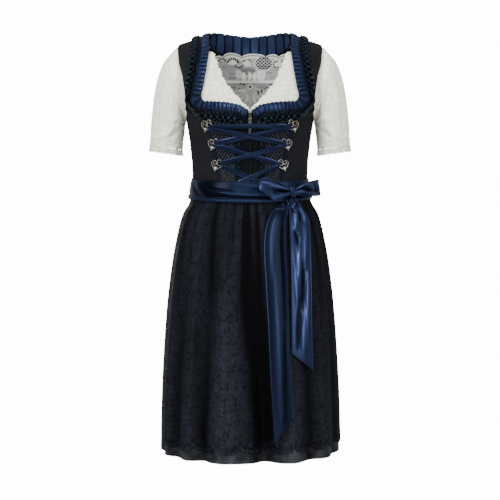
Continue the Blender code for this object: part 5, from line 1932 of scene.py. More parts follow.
@dataclass
class Skirt:
    """The gathered skirt, a front and a back panel that meet at the side seams."""

    finishes: Finishes
    cloth: float = 0.0014
    rows: int = 86
    step: float = 0.75
    seam_gap: float = 0.0003
    seam_slant: float = 0.0009
    gathers: int = 104
    gather_rise: float = 0.0021
    drapes: int = 46
    hem_line: float = 0.03
    hem_stitch: float = 0.0007
    # The painted light: the relief of a fold that moves it by a half, its value on flat cloth, and
    # how much the small gathers count.
    fold_scale: float = 0.012
    middle_shade: float = 0.42
    gather_shade: float = 0.22
    fuller: float = 1.25
    # Height, half width, front depth, back depth, squareness.
    levels: Rows = (
        (-0.3625, 0.1386, 0.106, 0.0972, 2.2), (-0.398, 0.144, 0.1115, 0.104, 2.2),
        (-0.425, 0.16, 0.124, 0.118, 2.2), (-0.47, 0.173, 0.135, 0.13, 2.2),
        (-0.54, 0.1865, 0.1497, 0.1447, 2.2), (-0.635, 0.1985, 0.1647, 0.1588, 2.2),
        (-0.75, 0.2075, 0.1772, 0.1712, 2.2), (-0.87, 0.2132, 0.1868, 0.1808, 2.2),
        (-0.99, 0.216, 0.193, 0.187, 2.2),
    )
    # Falling folds: degrees at the hem, half width, relief at the hem, lean, how early.
    folds: Rows = (
        (-75.0, 6.0, -0.008, -3.0, 1.0), (-63.0, 6.5, 0.005, -3.0, 1.2),
        (-52.0, 6.0, -0.008, -4.0, 0.9), (-40.0, 6.5, 0.007, -5.0, 1.2),
        (-29.0, 5.0, -0.012, -6.0, 0.8), (-14.0, 9.0, 0.011, -3.0, 1.1),
        (8.5, 5.5, -0.026, 11.0, 0.7), (24.0, 7.0, 0.013, 5.0, 1.1), (40.0, 6.0, -0.008, 5.0, 1.0),
        (53.0, 7.0, 0.006, 4.0, 1.2), (67.0, 6.0, -0.007, 3.0, 1.0), (97.0, 7.0, -0.008, 3.0, 0.9),
        (111.0, 6.0, 0.008, 3.0, 1.2), (124.0, 6.0, -0.012, 2.0, 0.8),
        (138.0, 7.0, 0.011, 2.0, 1.1), (153.0, 6.0, -0.015, 2.0, 0.8),
        (168.0, 7.0, 0.013, 1.0, 1.1), (184.0, 5.5, -0.018, 0.0, 0.7),
        (199.0, 7.0, 0.012, -1.0, 1.1), (214.0, 6.0, -0.014, -2.0, 0.8),
        (229.0, 7.0, 0.01, -2.0, 1.2), (243.0, 6.0, -0.011, -3.0, 0.9),
        (257.0, 6.0, 0.007, -3.0, 1.1),
    )

    # Least and greatest place, half width, reach and height of the small gathers.
    gather_spans: Rows = ((-0.3, 0.3), (0.8, 1.5), (0.06, 0.34), (0.5, 1.2))
    # Least and greatest place, lean, half width, start, run and height of the drapes.
    drape_spans: Rows = (
        (0.0, 360.0), (-3.0, 3.0), (1.2, 3.0), (0.02, 0.5), (0.25, 0.7), (-0.0024, 0.0026),
    )

    def __post_init__(self) -> None:
        """Lay a smooth curve through the levels, and draw the small gathers and drapes."""
        self.curve = smooth_rows(self.levels, 81)
        random = np.random.default_rng(11)
        at, half, reach, tall = (random.uniform(*span, self.gathers) for span in self.gather_spans)
        at = (np.arange(self.gathers) + at) * 360.0 / self.gathers
        self.gather_rows = list(zip(at, half, reach ** 1.2, tall))
        self.drape_rows = list(zip(*[random.uniform(*span, self.drapes)
                                     for span in self.drape_spans]))

    def share(self, height: Array) -> Array:
        """Share of the way from the waist to the hem."""
        top, foot = self.levels[0][0], self.levels[-1][0]
        return np.clip((top - height) / (top - foot), 0.0, 1.0)

    def relief(self, degrees: Array, share: Array, spread: float = 0.0) -> Array:
        """How far the falling folds stand out.

        Args:
            degrees: Angles round the skirt.
            share: Shares of the way to the hem.
            spread: Degrees by which each raised fold counts as wider. Troughs then don't count.

        Returns:
            The relief of the folds.
        """
        out = np.zeros(np.broadcast(degrees, share).shape)
        for centre, half, rise, lean, start in self.folds:
            off = about(degrees - (centre - lean * (1.0 - share)))
            off = np.sign(off) * np.maximum(np.abs(off) - spread, 0.0)
            if spread and rise < 0.0:
                continue
            out = out + rise * share ** start * bell(off / half)
        return out

    def small_relief(self, degrees: Array, share: Array) -> Array:
        """Small gathers under the waist and the soft drapes between the folds.

        Args:
            degrees: Angles round the skirt.
            share: Shares of the way to the hem.

        Returns:
            How far the cloth stands out at each place.
        """
        out = np.zeros(np.broadcast(degrees, share).shape)
        begun = np.clip((share - 0.015) / 0.05, 0.12, 1.0)
        for at, half, reach, tall in self.gather_rows:
            off = about(degrees - at)
            fade = begun * np.exp(-share / reach)
            out = out + self.gather_rise * tall * fade * bell(off / (half * (1.0 + share)))
        for at, lean, half, start, run, tall in self.drape_rows:
            along = np.clip((share - start) / run, 0.0, 1.0)
            off = about(degrees - at - lean * along)
            out = out + tall * np.sin(math.pi * along) * bell(off / half)
        return out

    def light_and_pattern(self, degrees: Array, share: Array, small: Array) -> Array:
        """The painted light and shade of the cloth: zero in the shaded hollows, one on the lit
        folds.

        Args:
            degrees: Angles round the skirt.
            share: Shares of the way to the hem.
            small: The small gathers' and drapes' relief.

        Returns:
            The values.
        """
        tall = self.relief(degrees, share) / self.fold_scale
        tall = tall + small / self.gather_rise * self.gather_shade
        return np.clip(self.middle_shade + 0.5 * tall, 0.0, 1.0)

    def points(self, degrees: Array, height: Array, more: Array = 0.0,
               spread: float = 0.0) -> Array:
        """Outer points of the skirt.

        Args:
            degrees: Angles round the skirt.
            height: Heights.
            more: Extra distance outwards.
            spread: As for the falling folds.

        Returns:
            The points.
        """
        degrees, height = np.broadcast_arrays(np.asarray(degrees, float),
                                              np.asarray(height, float))
        turn = np.radians(degrees)
        out = self.relief(degrees, self.share(height), spread) + more
        wide = column(self.curve, height) + out
        front, back = column(self.curve, height, value=2), column(self.curve, height, value=3)
        ahead, side = np.cos(turn), np.sin(turn)
        deep = np.where(ahead > 0, front, back) + out
        power = 2.0 / self.levels[0][4]
        x = wide * np.sign(side) * np.abs(side) ** power
        y = -deep * np.sign(ahead) * np.abs(ahead) ** power
        return np.stack([x, y, height], axis=-1)

    def build(self) -> None:
        """Build both panels."""
        share = shares(self.rows)[:, None]
        top, foot = self.levels[0][0], self.levels[-1][0]
        heights = top + (foot - top) * share
        for name, first in (("skirt_front", -90.0), ("skirt_back", 90.0)):
            degrees = np.arange(first, first + 180.0 + self.step / 2, self.step)[None, :]
            small = self.small_relief(degrees, share)
            hem = self.hem_stitch * bell((heights - foot - self.hem_line) / 0.0022)
            grid = self.points(degrees, heights, small - hem)
            grid[..., 1] += math.copysign(self.seam_gap / 2, first)
            inside = grid - outward(grid) * self.cloth
            beside = bell((degrees - first) / 2.5) + bell((degrees - first - 180.0) / 2.5)
            inside[..., 1] += self.seam_slant * beside
            Sheet(name, grid, self.finishes.jacquard, Held.GATHERED,
                  ("side_front_left", "centre_back"), self.cloth, fuller=self.fuller,
                  inside=inside, light_and_pattern=self.light_and_pattern(degrees, share, small)).build()


@dataclass
class Apron:
    """The lace apron: gathered to the sash, laid over the skirt, scalloped at its hem."""

    finishes: Finishes
    skirt: Skirt
    first: float = -65.0
    last: float = 85.0
    step: float = 0.5
    rows: int = 96
    cloth: float = 0.0009
    gap: Pair = (0.001, 0.0026)
    gather_rise: float = 0.0012
    hem_rise: float = 0.024
    scallop: float = 0.014
    scallop_degrees: float = 15.0
    small_scallop: float = 0.003
    gathers: int = 70
    # Least and greatest shift, half width and reach of the small gathers.
    gather_spans: Rows = ((-0.7, 0.7), (0.5, 1.0), (0.06, 0.4))
    drape_rise: float = 0.0012
    fuller: float = 1.25
    # How much painted shade darkens the hollows between the gathers, and all the cloth at its top
    # under the sash.
    gather_shade: float = 0.42
    top_shade: float = 0.28
    # The hem: heights above its edge of the bound edge, the cord, the strip that is painted lit
    # and the darker band, and the foot and the height of the arches of its border, whose outlines
    # are drawn lighter.
    bound: float = 0.0014
    cord: float = 0.011
    cord_lit: float = 0.005
    band: float = 0.013
    arch: Pair = (0.006, 0.016)
    # Soft folds under the sash, each painted lit or shaded: degrees at the start and the end, half
    # width, share of the drop at the start and the end, and how light, negative for painted shade.
    drapes: Rows = (
        (-61.0, -58.0, 3.0, 0.02, 0.45, -0.32), (-51.0, -50.0, 4.5, 0.06, 0.6, 0.18),
        (-40.0, -43.0, 4.5, 0.03, 0.5, 0.22), (-29.0, -25.0, 2.2, 0.01, 0.44, -0.46),
        (-22.0, -20.0, 2.0, 0.03, 0.3, 0.2), (-11.0, -12.0, 1.6, 0.01, 0.28, -0.34),
        (-6.5, -7.0, 1.5, 0.02, 0.36, 0.3), (-2.5, -3.0, 2.4, 0.03, 0.62, -0.55),
        (1.6, 3.6, 1.2, 0.01, 0.42, 0.2), (4.5, 8.5, 1.6, 0.01, 0.82, -0.5),
        (8.0, 11.5, 1.4, 0.02, 0.5, 0.28), (12.5, 14.0, 2.4, 0.01, 0.92, -0.4),
        (58.0, 55.0, 2.4, 0.02, 0.52, -0.4), (66.0, 64.0, 3.2, 0.05, 0.7, 0.24),
        (75.0, 73.0, 2.2, 0.02, 0.6, -0.34), (-17.0, -18.0, 7.0, 0.34, 1.0, 0.16),
        (-35.0, -33.0, 3.0, 0.46, 1.0, -0.2), (30.0, 30.0, 4.0, 0.3, 1.0, 0.14),
    )

    def build(self) -> None:
        """Build the apron."""
        degrees = np.arange(self.first, self.last + self.step / 2, self.step)[None, :]
        top, foot = self.skirt.levels[0][0], self.skirt.levels[-1][0]
        scallops = (degrees - self.first) / self.scallop_degrees
        wave = np.sqrt(np.abs(np.sin(math.pi * scallops)))
        small = np.abs(np.sin(math.pi * scallops * 4.0))
        lift = self.hem_rise + self.scallop * (1.0 - wave) - self.small_scallop * small
        heights = top + (foot + lift - top) * shares(self.rows)[:, None]
        at = self.skirt.share(heights)
        folds = self.skirt.small_relief(degrees, at)
        gathered, drawn = self.gathered(degrees, at), self.drawn(degrees, at)
        out = self.gap[0] + (self.gap[1] - self.gap[0]) * at + self.gather_rise * gathered
        out = out + self.drape_rise * np.maximum(drawn, -0.4)
        # Painted light from the skirt's folds and from the drapes, then painted shade in the
        # hollows between the gathers and, growing towards the sash, over the top of the apron.
        light_and_pattern = self.skirt.light_and_pattern(degrees, at, folds) + drawn
        hollow = gathered.max() * 0.3 - gathered
        light_and_pattern = light_and_pattern - self.gather_shade * hollow * np.exp(-at / 0.32)
        light_and_pattern = light_and_pattern * (1.0 - self.top_shade + self.top_shade * at)
        from_hem = heights - heights[-1:, :]
        petal = np.abs(np.sin(math.pi * scallops * 2.0))
        from_arch = from_hem - self.arch[0] - self.arch[1] * petal
        # Painted shade along the hem's edge, painted light on a strip above it, a darker band and
        # lighter outlines of the border's arches.
        light_and_pattern = light_and_pattern - 0.3 * bell(from_hem / 0.003)
        light_and_pattern = light_and_pattern + 0.45 * bell((from_hem - self.cord_lit) / 0.004)
        light_and_pattern = light_and_pattern - 0.45 * bell((from_hem - self.band) / 0.005)
        light_and_pattern = light_and_pattern + 0.4 * bell(from_arch / 0.0026)
        out = out + 0.0008 * bell((from_hem - self.bound) / 0.0016)
        out = out + 0.0005 * bell((from_hem - self.cord) / 0.0012)
        out = out + 0.0006 * bell(from_arch / 0.0014)
        base = self.skirt.points(degrees, heights, folds)
        grid = base + outward(base) * (out + self.cloth)[..., None]
        grid[..., 1] -= self.skirt.seam_gap / 2
        Sheet("apron", grid, self.finishes.apron, Held.GATHERED, ("sash", "skirt_front"),
              self.cloth, fuller=self.fuller, light_and_pattern=np.clip(light_and_pattern, 0.0, 1.0)).build()

    def gathered(self, degrees: Array, at: Array) -> Array:
        """How high the small gathers under the sash stand.

        Args:
            degrees: Angles round the skirt.
            at: Shares of the way to the hem.

        Returns:
            The height of each place, about one on a gather.
        """
        random = np.random.default_rng(5)
        aside, halves, reaches = (random.uniform(*span, self.gathers)
                                  for span in self.gather_spans)
        places = np.linspace(self.first, self.last, self.gathers) + aside
        high = np.zeros(at.shape)
        begun = np.clip((at - 0.01) / 0.06, 0.15, 1.0)
        for place, half, reach in zip(places, halves, reaches):
            high = high + begun * np.exp(-at / reach) * bell((degrees - place) / half)
        return high

    def drawn(self, degrees: Array, at: Array) -> Array:
        """How much painted light or painted shade the drapes give each place.

        Args:
            degrees: Angles round the skirt.
            at: Shares of the way to the hem.

        Returns:
            The change of each place's painted light, negative where it is painted darker.
        """
        drawn = np.zeros(at.shape)
        for first, last, half, start, end, light in self.drapes:
            run = np.clip((at - start) / (end - start), 0.0, 1.0)
            fade = np.clip(run * 8.0, 0.0, 1.0) * np.cos(run * math.pi / 2.0) ** 0.7
            off = degrees - (first + (last - first) * run)
            drawn = drawn + light * fade * bell(off / (half * (1.0 + 0.5 * run)))
        return drawn


@dataclass
class SashAndBow:
    """The satin sash with the bow: two loops, the knot and two tails."""

    finishes: Finishes
    skirt: Skirt
    columns: int = 320
    rows: int = 36
    cloth: float = 0.0012
    top: Pair = (-0.345, -0.339)
    foot: Pair = (-0.395, -0.387)
    knot_degrees: float = 38.5
    knot_height: float = -0.371
    knot_out: float = 0.0195
    knot_half: Triple = (0.009, 0.0088, 0.014)
    tail_clear: float = 0.0062
    tail_spread: float = 9.0
    tail_over: float = 0.009
    tail_spring: float = 0.2
    # How light the sash's flat cloth is painted, the half width of a tail's rolled hems, which are
    # also painted lighter, and the relief of a crease and of a fold that is painted as fully lit.
    sash_shade: float = 0.32
    hem_half: float = 0.02
    sash_relief: float = 0.0019
    fold_relief: float = 0.004
    # The loops: how high their fan of creases is, how far their edges turn back, how much
    # their edges wave, and how light their flat cloth is painted; then how light the knot is
    # painted.
    fan: float = 0.0013
    turned_back: float = 0.003
    wave: float = 0.0012
    loop_shade: float = 0.52
    knot_shade: float = 0.45
    # The tails: relief that is painted as fully lit, and how far their cloth lies out.
    tail_relief: float = 0.0036
    tail_wave: float = 0.0006
    tail_foot: float = 0.0022
    loop_columns: int = 84
    loop_rows: int = 37
    least_out: float = 0.0135
    knot_columns: int = 60
    knot_rows: int = 30
    knot_cloth: float = 0.001
    tail_rows: int = 150
    tail_columns: int = 34
    # How many times as long as wide a tail is taken to be for its creases.
    tail_stretch: float = 4.0
    # Share of the drop, out at the sides, more at the front, and depth of the draped fold.
    section: Rows = (
        (0.0, 0.0043, 0.0044, 0.0), (0.05, 0.0052, 0.0044, 0.0), (0.3, 0.0066, 0.0044, 0.0),
        (0.55, 0.0078, 0.0042, 0.0), (0.68, 0.0082, 0.0036, -0.0006),
        (0.76, 0.0074, 0.0022, -0.0024), (0.82, 0.0082, 0.0026, -0.001),
        (0.9, 0.0098, 0.003, 0.0012), (1.0, 0.0094, 0.0022, 0.0),
    )
    # Soft creases of the sash, in degrees and share of the drop: start, end, width, height.
    sash_creases: Rows = (
        (-52.0, 0.1, -28.0, 0.34, 0.05, 0.0012), (-50.0, 0.3, -14.0, 0.52, 0.045, -0.0012),
        (-40.0, 0.52, 12.0, 0.66, 0.04, 0.0012), (-70.0, 0.18, -56.0, 0.7, 0.06, -0.0014),
        (-62.0, 0.12, -46.0, 0.8, 0.05, 0.0011), (-8.0, 0.14, 22.0, 0.3, 0.05, 0.001),
        (4.0, 0.34, 27.0, 0.5, 0.04, -0.0012), (60.0, 0.2, 92.0, 0.36, 0.05, 0.0012),
        (70.0, 0.5, 110.0, 0.6, 0.05, -0.0012), (120.0, 0.24, 160.0, 0.38, 0.05, 0.0012),
        (150.0, 0.6, 200.0, 0.5, 0.05, -0.0012), (196.0, 0.3, 236.0, 0.24, 0.05, 0.0012),
        (230.0, 0.56, 262.0, 0.44, 0.05, -0.0012), (248.0, 0.2, 282.0, 0.3, 0.05, 0.001),
    )
    # Patches of painted light and painted shade on the sash: degrees, share of the drop, half
    # sizes, how light, negative for painted shade.
    painted_sash_patches: Rows = (
        (-36.0, 0.34, 22.0, 0.3, -1.3), (-9.0, 0.4, 9.0, 0.24, 0.4), (-62.0, 0.36, 9.0, 0.3, 0.3),
        (140.0, 0.4, 24.0, 0.26, -0.7), (226.0, 0.5, 20.0, 0.26, -0.7),
    )
    # Loops, from the knot round the tip and back: degrees, middle height, out, half height.
    left_loop: Rows = (
        (36.2, -0.37, 0.0225, 0.0065), (31.0, -0.3705, 0.0275, 0.0125),
        (25.0, -0.3685, 0.0315, 0.0192), (18.5, -0.363, 0.0305, 0.0245),
        (12.5, -0.354, 0.0275, 0.0215), (7.6, -0.3495, 0.022, 0.015),
        (7.2, -0.3495, 0.0175, 0.014), (10.5, -0.3535, 0.015, 0.0165),
        (20.0, -0.3655, 0.0146, 0.02), (35.0, -0.37, 0.015, 0.007),
    )
    # Folds of the loops' outer faces: share from knot to tip and height at the start and the
    # end, half width, height. A height across of 1 is the loop's upper edge.
    left_folds: Rows = (
        (0.06, 0.1, 0.62, -0.1, 0.15, -0.0075), (0.05, 0.45, 0.7, 0.34, 0.12, 0.0028),
        (0.08, -0.4, 0.62, -0.62, 0.13, 0.003), (0.3, 0.78, 0.9, 0.66, 0.1, -0.0026),
        (0.22, -0.86, 0.7, -0.3, 0.1, -0.0022), (0.6, 0.3, 0.98, 0.1, 0.14, 0.0026),
        (0.1, 0.85, 0.55, 0.92, 0.08, 0.002),
    )
    right_folds: Rows = (
        (0.06, 0.2, 0.42, 0.46, 0.11, -0.006), (0.08, -0.1, 0.46, -0.22, 0.12, 0.0036),
        (0.1, 0.6, 0.48, 0.86, 0.11, 0.003), (0.42, 0.6, 0.6, -0.5, 0.11, -0.005),
        (0.54, 0.84, 0.72, -0.16, 0.09, 0.0034), (0.1, -0.6, 0.56, -0.72, 0.11, -0.003),
        (0.7, 0.6, 0.8, -0.7, 0.09, -0.0034), (0.8, 0.8, 0.94, -0.5, 0.09, 0.003),
        (0.46, -0.2, 0.74, -0.84, 0.09, 0.003),
    )
    right_loop: Rows = (
        (41.0, -0.371, 0.0225, 0.0065), (46.0, -0.369, 0.0265, 0.011), (53.0, -0.367, 0.03, 0.015),
        (66.0, -0.3635, 0.0325, 0.0195), (75.0, -0.362, 0.0345, 0.0205),
        (79.5, -0.362, 0.0305, 0.0205), (77.5, -0.3625, 0.024, 0.02),
        (60.0, -0.3665, 0.015, 0.0165), (42.0, -0.371, 0.0148, 0.007),
    )
    # Left x, left height, right x, right height.
    long_tail: Rows = (
        (0.086, -0.385, 0.095, -0.383), (0.074, -0.395, 0.0935, -0.393),
        (0.056, -0.41, 0.0885, -0.41), (0.039, -0.44, 0.084, -0.44), (0.033, -0.49, 0.0825, -0.49),
        (0.036, -0.57, 0.086, -0.57), (0.042, -0.67, 0.0895, -0.67), (0.046, -0.76, 0.0925, -0.76),
        (0.051, -0.845, 0.096, -0.835), (0.057, -0.939, 0.099, -0.884),
    )
    short_tail: Rows = (
        (0.0968, -0.384, 0.106, -0.385), (0.095, -0.394, 0.115, -0.395),
        (0.092, -0.41, 0.124, -0.41), (0.0925, -0.44, 0.139, -0.44), (0.094, -0.5, 0.141, -0.5),
        (0.0955, -0.58, 0.1425, -0.58), (0.096, -0.66, 0.1435, -0.67),
        (0.0965, -0.736, 0.146, -0.779),
    )
    # Soft creases of the tails: share across and down at the start and the end, width, height.
    long_creases: Rows = (
        (0.55, 0.0, 0.2, 0.06, 0.09, 0.005), (0.8, 0.0, 0.86, 0.1, 0.06, 0.005),
        (0.62, 0.015, 0.62, 0.085, 0.07, -0.0052), (0.3, 0.06, 0.66, 0.105, 0.05, 0.004),
        (0.66, 0.095, 0.84, 0.15, 0.06, 0.0042), (0.86, 0.12, 0.95, 0.185, 0.05, 0.004),
        (0.4, 0.09, 0.6, 0.15, 0.05, -0.004), (0.1, 0.08, 0.34, 0.125, 0.05, -0.003),
        (0.24, 0.115, 0.66, 0.2, 0.06, 0.002), (0.3, 0.26, 0.24, 0.52, 0.11, 0.0012),
        (0.7, 0.3, 0.76, 0.64, 0.12, -0.0014), (0.36, 0.56, 0.42, 0.93, 0.12, 0.0014),
        (0.72, 0.7, 0.6, 0.96, 0.1, -0.0012),
    )
    short_creases: Rows = (
        (0.3, 0.0, 0.1, 0.11, 0.08, 0.005), (0.55, 0.01, 0.34, 0.12, 0.07, -0.0052),
        (0.62, 0.0, 0.8, 0.13, 0.06, 0.0044), (0.16, 0.1, 0.4, 0.16, 0.06, 0.005),
        (0.44, 0.15, 0.22, 0.26, 0.07, 0.0048), (0.7, 0.13, 0.62, 0.23, 0.06, -0.0044),
        (0.14, 0.27, 0.34, 0.33, 0.06, -0.0042), (0.4, 0.3, 0.24, 0.47, 0.09, 0.005),
        (0.6, 0.32, 0.52, 0.42, 0.06, -0.004), (0.86, 0.24, 0.8, 0.42, 0.07, 0.0036),
        (0.22, 0.48, 0.44, 0.56, 0.06, -0.0046), (0.46, 0.52, 0.34, 0.7, 0.08, 0.005),
        (0.76, 0.46, 0.68, 0.64, 0.07, 0.0036), (0.16, 0.62, 0.28, 0.8, 0.08, 0.004),
        (0.6, 0.64, 0.54, 0.8, 0.07, -0.0044), (0.84, 0.68, 0.72, 0.9, 0.07, 0.0042),
        (0.4, 0.78, 0.3, 0.95, 0.08, -0.004), (0.64, 0.82, 0.52, 0.97, 0.07, 0.0044),
    )

    def sash(self) -> None:
        """Build the sash."""
        turn = math.tau * np.arange(self.columns) / self.columns
        degrees = (np.degrees(turn)[None, :] + 90.0) % 360.0 - 90.0
        ahead = np.maximum(np.cos(turn), 0.0)
        share = shares(self.rows)[:, None]
        top = self.top[1] + (self.top[0] - self.top[1]) * ahead
        foot = self.foot[1] + (self.foot[0] - self.foot[1]) * ahead
        height = top + (foot - top) * share
        folded = column(self.section, share, value=3) * (0.6 + 0.4 * np.sin(turn * 2.0 + 0.6))
        out = column(self.section, share) + column(self.section, share, value=2) * ahead + folded
        relief = creases([(a / 60.0, b, c / 60.0, d, w, h) for a, b, c, d, w, h
                          in self.sash_creases], degrees / 60.0, share)
        out = out + relief * np.clip(share * (1.0 - share) * 16.0, 0.0, 1.0)
        grid = FIGURE.laid(np.broadcast_to(turn, height.shape), height, out + self.cloth)
        # Painted light from the creases and the draped fold, then the patches of painted light and
        # shade.
        light_and_pattern = self.sash_shade + relief / self.sash_relief + folded / self.fold_relief
        for centre, drop, half, reach, light in self.painted_sash_patches:
            near = bell((degrees - centre) / half) * bell((share - drop) / reach)
            light_and_pattern = light_and_pattern + light * near
        Sheet("sash", grid, self.finishes.satin, Held.STRETCHED,
              ("side_back_left", "side_back_right"), self.cloth, closed=True,
              light_and_pattern=np.clip(light_and_pattern, 0.0, 1.2)).build()

    def loop(self, name: str, table: Rows, folds: Rows, bend: float) -> None:
        """Build one loop.

        Args:
            name: Its name, also that of its solid.
            table: Its run from the knot and back.
            folds: The folds of its outer face.
            bend: Which way its creases turn.
        """
        run = smooth_rows(table, self.loop_columns)
        share = shares(self.loop_columns)[None, :]
        across = np.linspace(-1.0, 1.0, self.loop_rows)[:, None]
        near_knot = np.minimum(share, 1.0 - share) * 2.0
        fan = np.cos(across * 9.5 + bend) * (1.0 - near_knot) ** 1.2
        face = np.clip((0.56 - share) / 0.08, 0.0, 1.0)
        relief = self.fan * fan * np.clip(near_knot * 6.0, 0.0, 1.0)
        relief = relief + creases(folds, share * 2.0, across) * face
        out = run[:, 2][None, :] + relief
        outer = np.clip((0.5 - share) / 0.1, 0.0, 1.0)
        out = out - self.turned_back * across ** 2 * near_knot * outer
        height = run[:, 1][None, :] + across * run[:, 3][None, :]
        height = height + self.wave * np.sin(share * 15.0 + bend) * np.abs(across) * near_knot
        angle = np.radians(run[:, 0])[None, :] + np.zeros_like(height)
        lean = np.radians(1.6) * across * near_knot * bend
        grid = FIGURE.laid(angle + lean, height, np.maximum(out, self.least_out))
        half = grid_normals(grid) * self.cloth / 2
        # Its painted light follows the relief of its folds, with a painted highlight on the
        # highest.
        Sheet(name, grid + half, self.finishes.satin, Held.FOLDED, ("sash",), self.cloth,
              inside=grid - half,
              light_and_pattern=np.clip(self.loop_shade + relief / self.fold_relief, 0.0, 1.5)).build()

    def knot(self) -> None:
        """Build the knot, a band of satin drawn tight round the loops."""
        centre = FIGURE.laid(math.radians(self.knot_degrees), self.knot_height, self.knot_out)
        centre = np.asarray(centre).reshape(3)
        turn = math.tau * np.arange(self.knot_columns) / self.knot_columns
        level = np.linspace(-0.5, 0.5, self.knot_rows) * math.pi * 0.985
        wrinkle = 0.075 * np.cos(turn * 9.0) + 0.05 * np.cos(turn * 5.0 + 1.0)
        size = 1.0 + wrinkle[None, :] * np.cos(level)[:, None] ** 0.5
        ring = np.cos(level)[:, None] ** 0.62 * size
        pull = 1.0 - 0.16 * np.cos(level)[:, None] ** 6
        x = centre[0] + self.knot_half[0] * ring * pull * np.sin(turn)[None, :]
        y = centre[1] - self.knot_half[1] * ring * np.cos(turn)[None, :]
        z = centre[2] - self.knot_half[2] * np.sin(level)[:, None] * np.ones_like(ring)
        x = x + 0.0015 * np.sin(level)[:, None]
        grid = np.stack([x, y, z], axis=-1)
        # Painted light on the knot's wrinkles, painted shade between them.
        light_and_pattern = np.clip(self.knot_shade + (size - 1.0) / 0.15, 0.0, 1.0)
        Sheet("bow_knot", grid, self.finishes.satin, Held.FOLDED,
              ("bow_loop_left", "bow_loop_right"), self.knot_cloth, closed=True,
              light_and_pattern=light_and_pattern).build()

    def tail_depth(self, x: Array, height: Array) -> Array:
        """How far forward a tail hangs at a place, clear of the sash and of the apron.

        Args:
            x: Places across.
            height: Heights of the same places.

        Returns:
            The y of each place.
        """
        angles = np.linspace(0.0, 85.0, 86)
        outline = self.skirt.points(angles, float(height.mean()), self.tail_clear,
                                    self.tail_spread)
        clear = np.interp(x, outline[:, 0], outline[:, 1])
        foot = self.foot[0]
        out = self.section[-1][1] + 0.0046 + self.tail_over
        sash = FIGURE.laid(FIGURE.angle_at(x, foot), foot, np.full(x.shape, out))[..., 1]
        past = np.maximum(0.0, foot - height)
        return np.minimum(clear, sash + past * self.tail_spring)

    def tail(self, name: str, table: Rows, relief: Rows, middle: float) -> None:
        """Build one tail.

        Args:
            name: Its name, also that of its solid.
            table: Its edges, level by level.
            relief: Its soft creases.
            middle: How light its flat cloth is painted, from zero to one.
        """
        rows = smooth_rows(table, self.tail_rows)
        across = shares(self.tail_columns)
        share = shares(self.tail_rows)[:, None]
        x = rows[:, :1] + (rows[:, 2:3] - rows[:, :1]) * across
        z = rows[:, 1:2] + (rows[:, 3:4] - rows[:, 1:2]) * across
        y = np.array([self.tail_depth(x_row, z_row) for x_row, z_row in zip(x, z)])
        y = softened(y)
        grown = np.clip(share / 0.04, 0.25, 1.0)
        long = self.tail_stretch
        drawn = [(a, b * long, c, d * long, half, high) for a, b, c, d, half, high in relief]
        lift = creases(drawn, across[None, :], share * long) * grown
        edge = np.minimum(across, 1.0 - across)
        hem = bell(edge / self.hem_half)
        # Painted light: the flat cloth, lit creases, shaded troughs and a painted highlight along
        # each hem.
        light_and_pattern = np.clip(middle + lift / self.tail_relief + 0.6 * hem, 0.0, 1.9)
        wave = np.sin(across * 4.5 + share * 5.0) * np.clip(share * 4, 0.0, 1.0)
        lift = lift + self.tail_wave * wave
        y = y - self.tail_foot - np.maximum(lift, -0.002) - self.tail_wave * hem
        grid = np.stack([x, y, z], axis=-1)
        TrimSheet(name, grid, self.finishes.satin, Held.HUNG, ("bow_knot",), self.cloth,
                  light_and_pattern=light_and_pattern).build()

    def build(self) -> None:
        """Build the sash and the bow."""
        self.sash()
        self.loop("bow_loop_left", self.left_loop, self.left_folds, 0.6)
        self.loop("bow_loop_right", self.right_loop, self.right_folds, -0.9)
        self.knot()
        self.tail("bow_tail_long", self.long_tail, self.long_creases, 0.13)
        self.tail("bow_tail_short", self.short_tail, self.short_creases, 0.52)


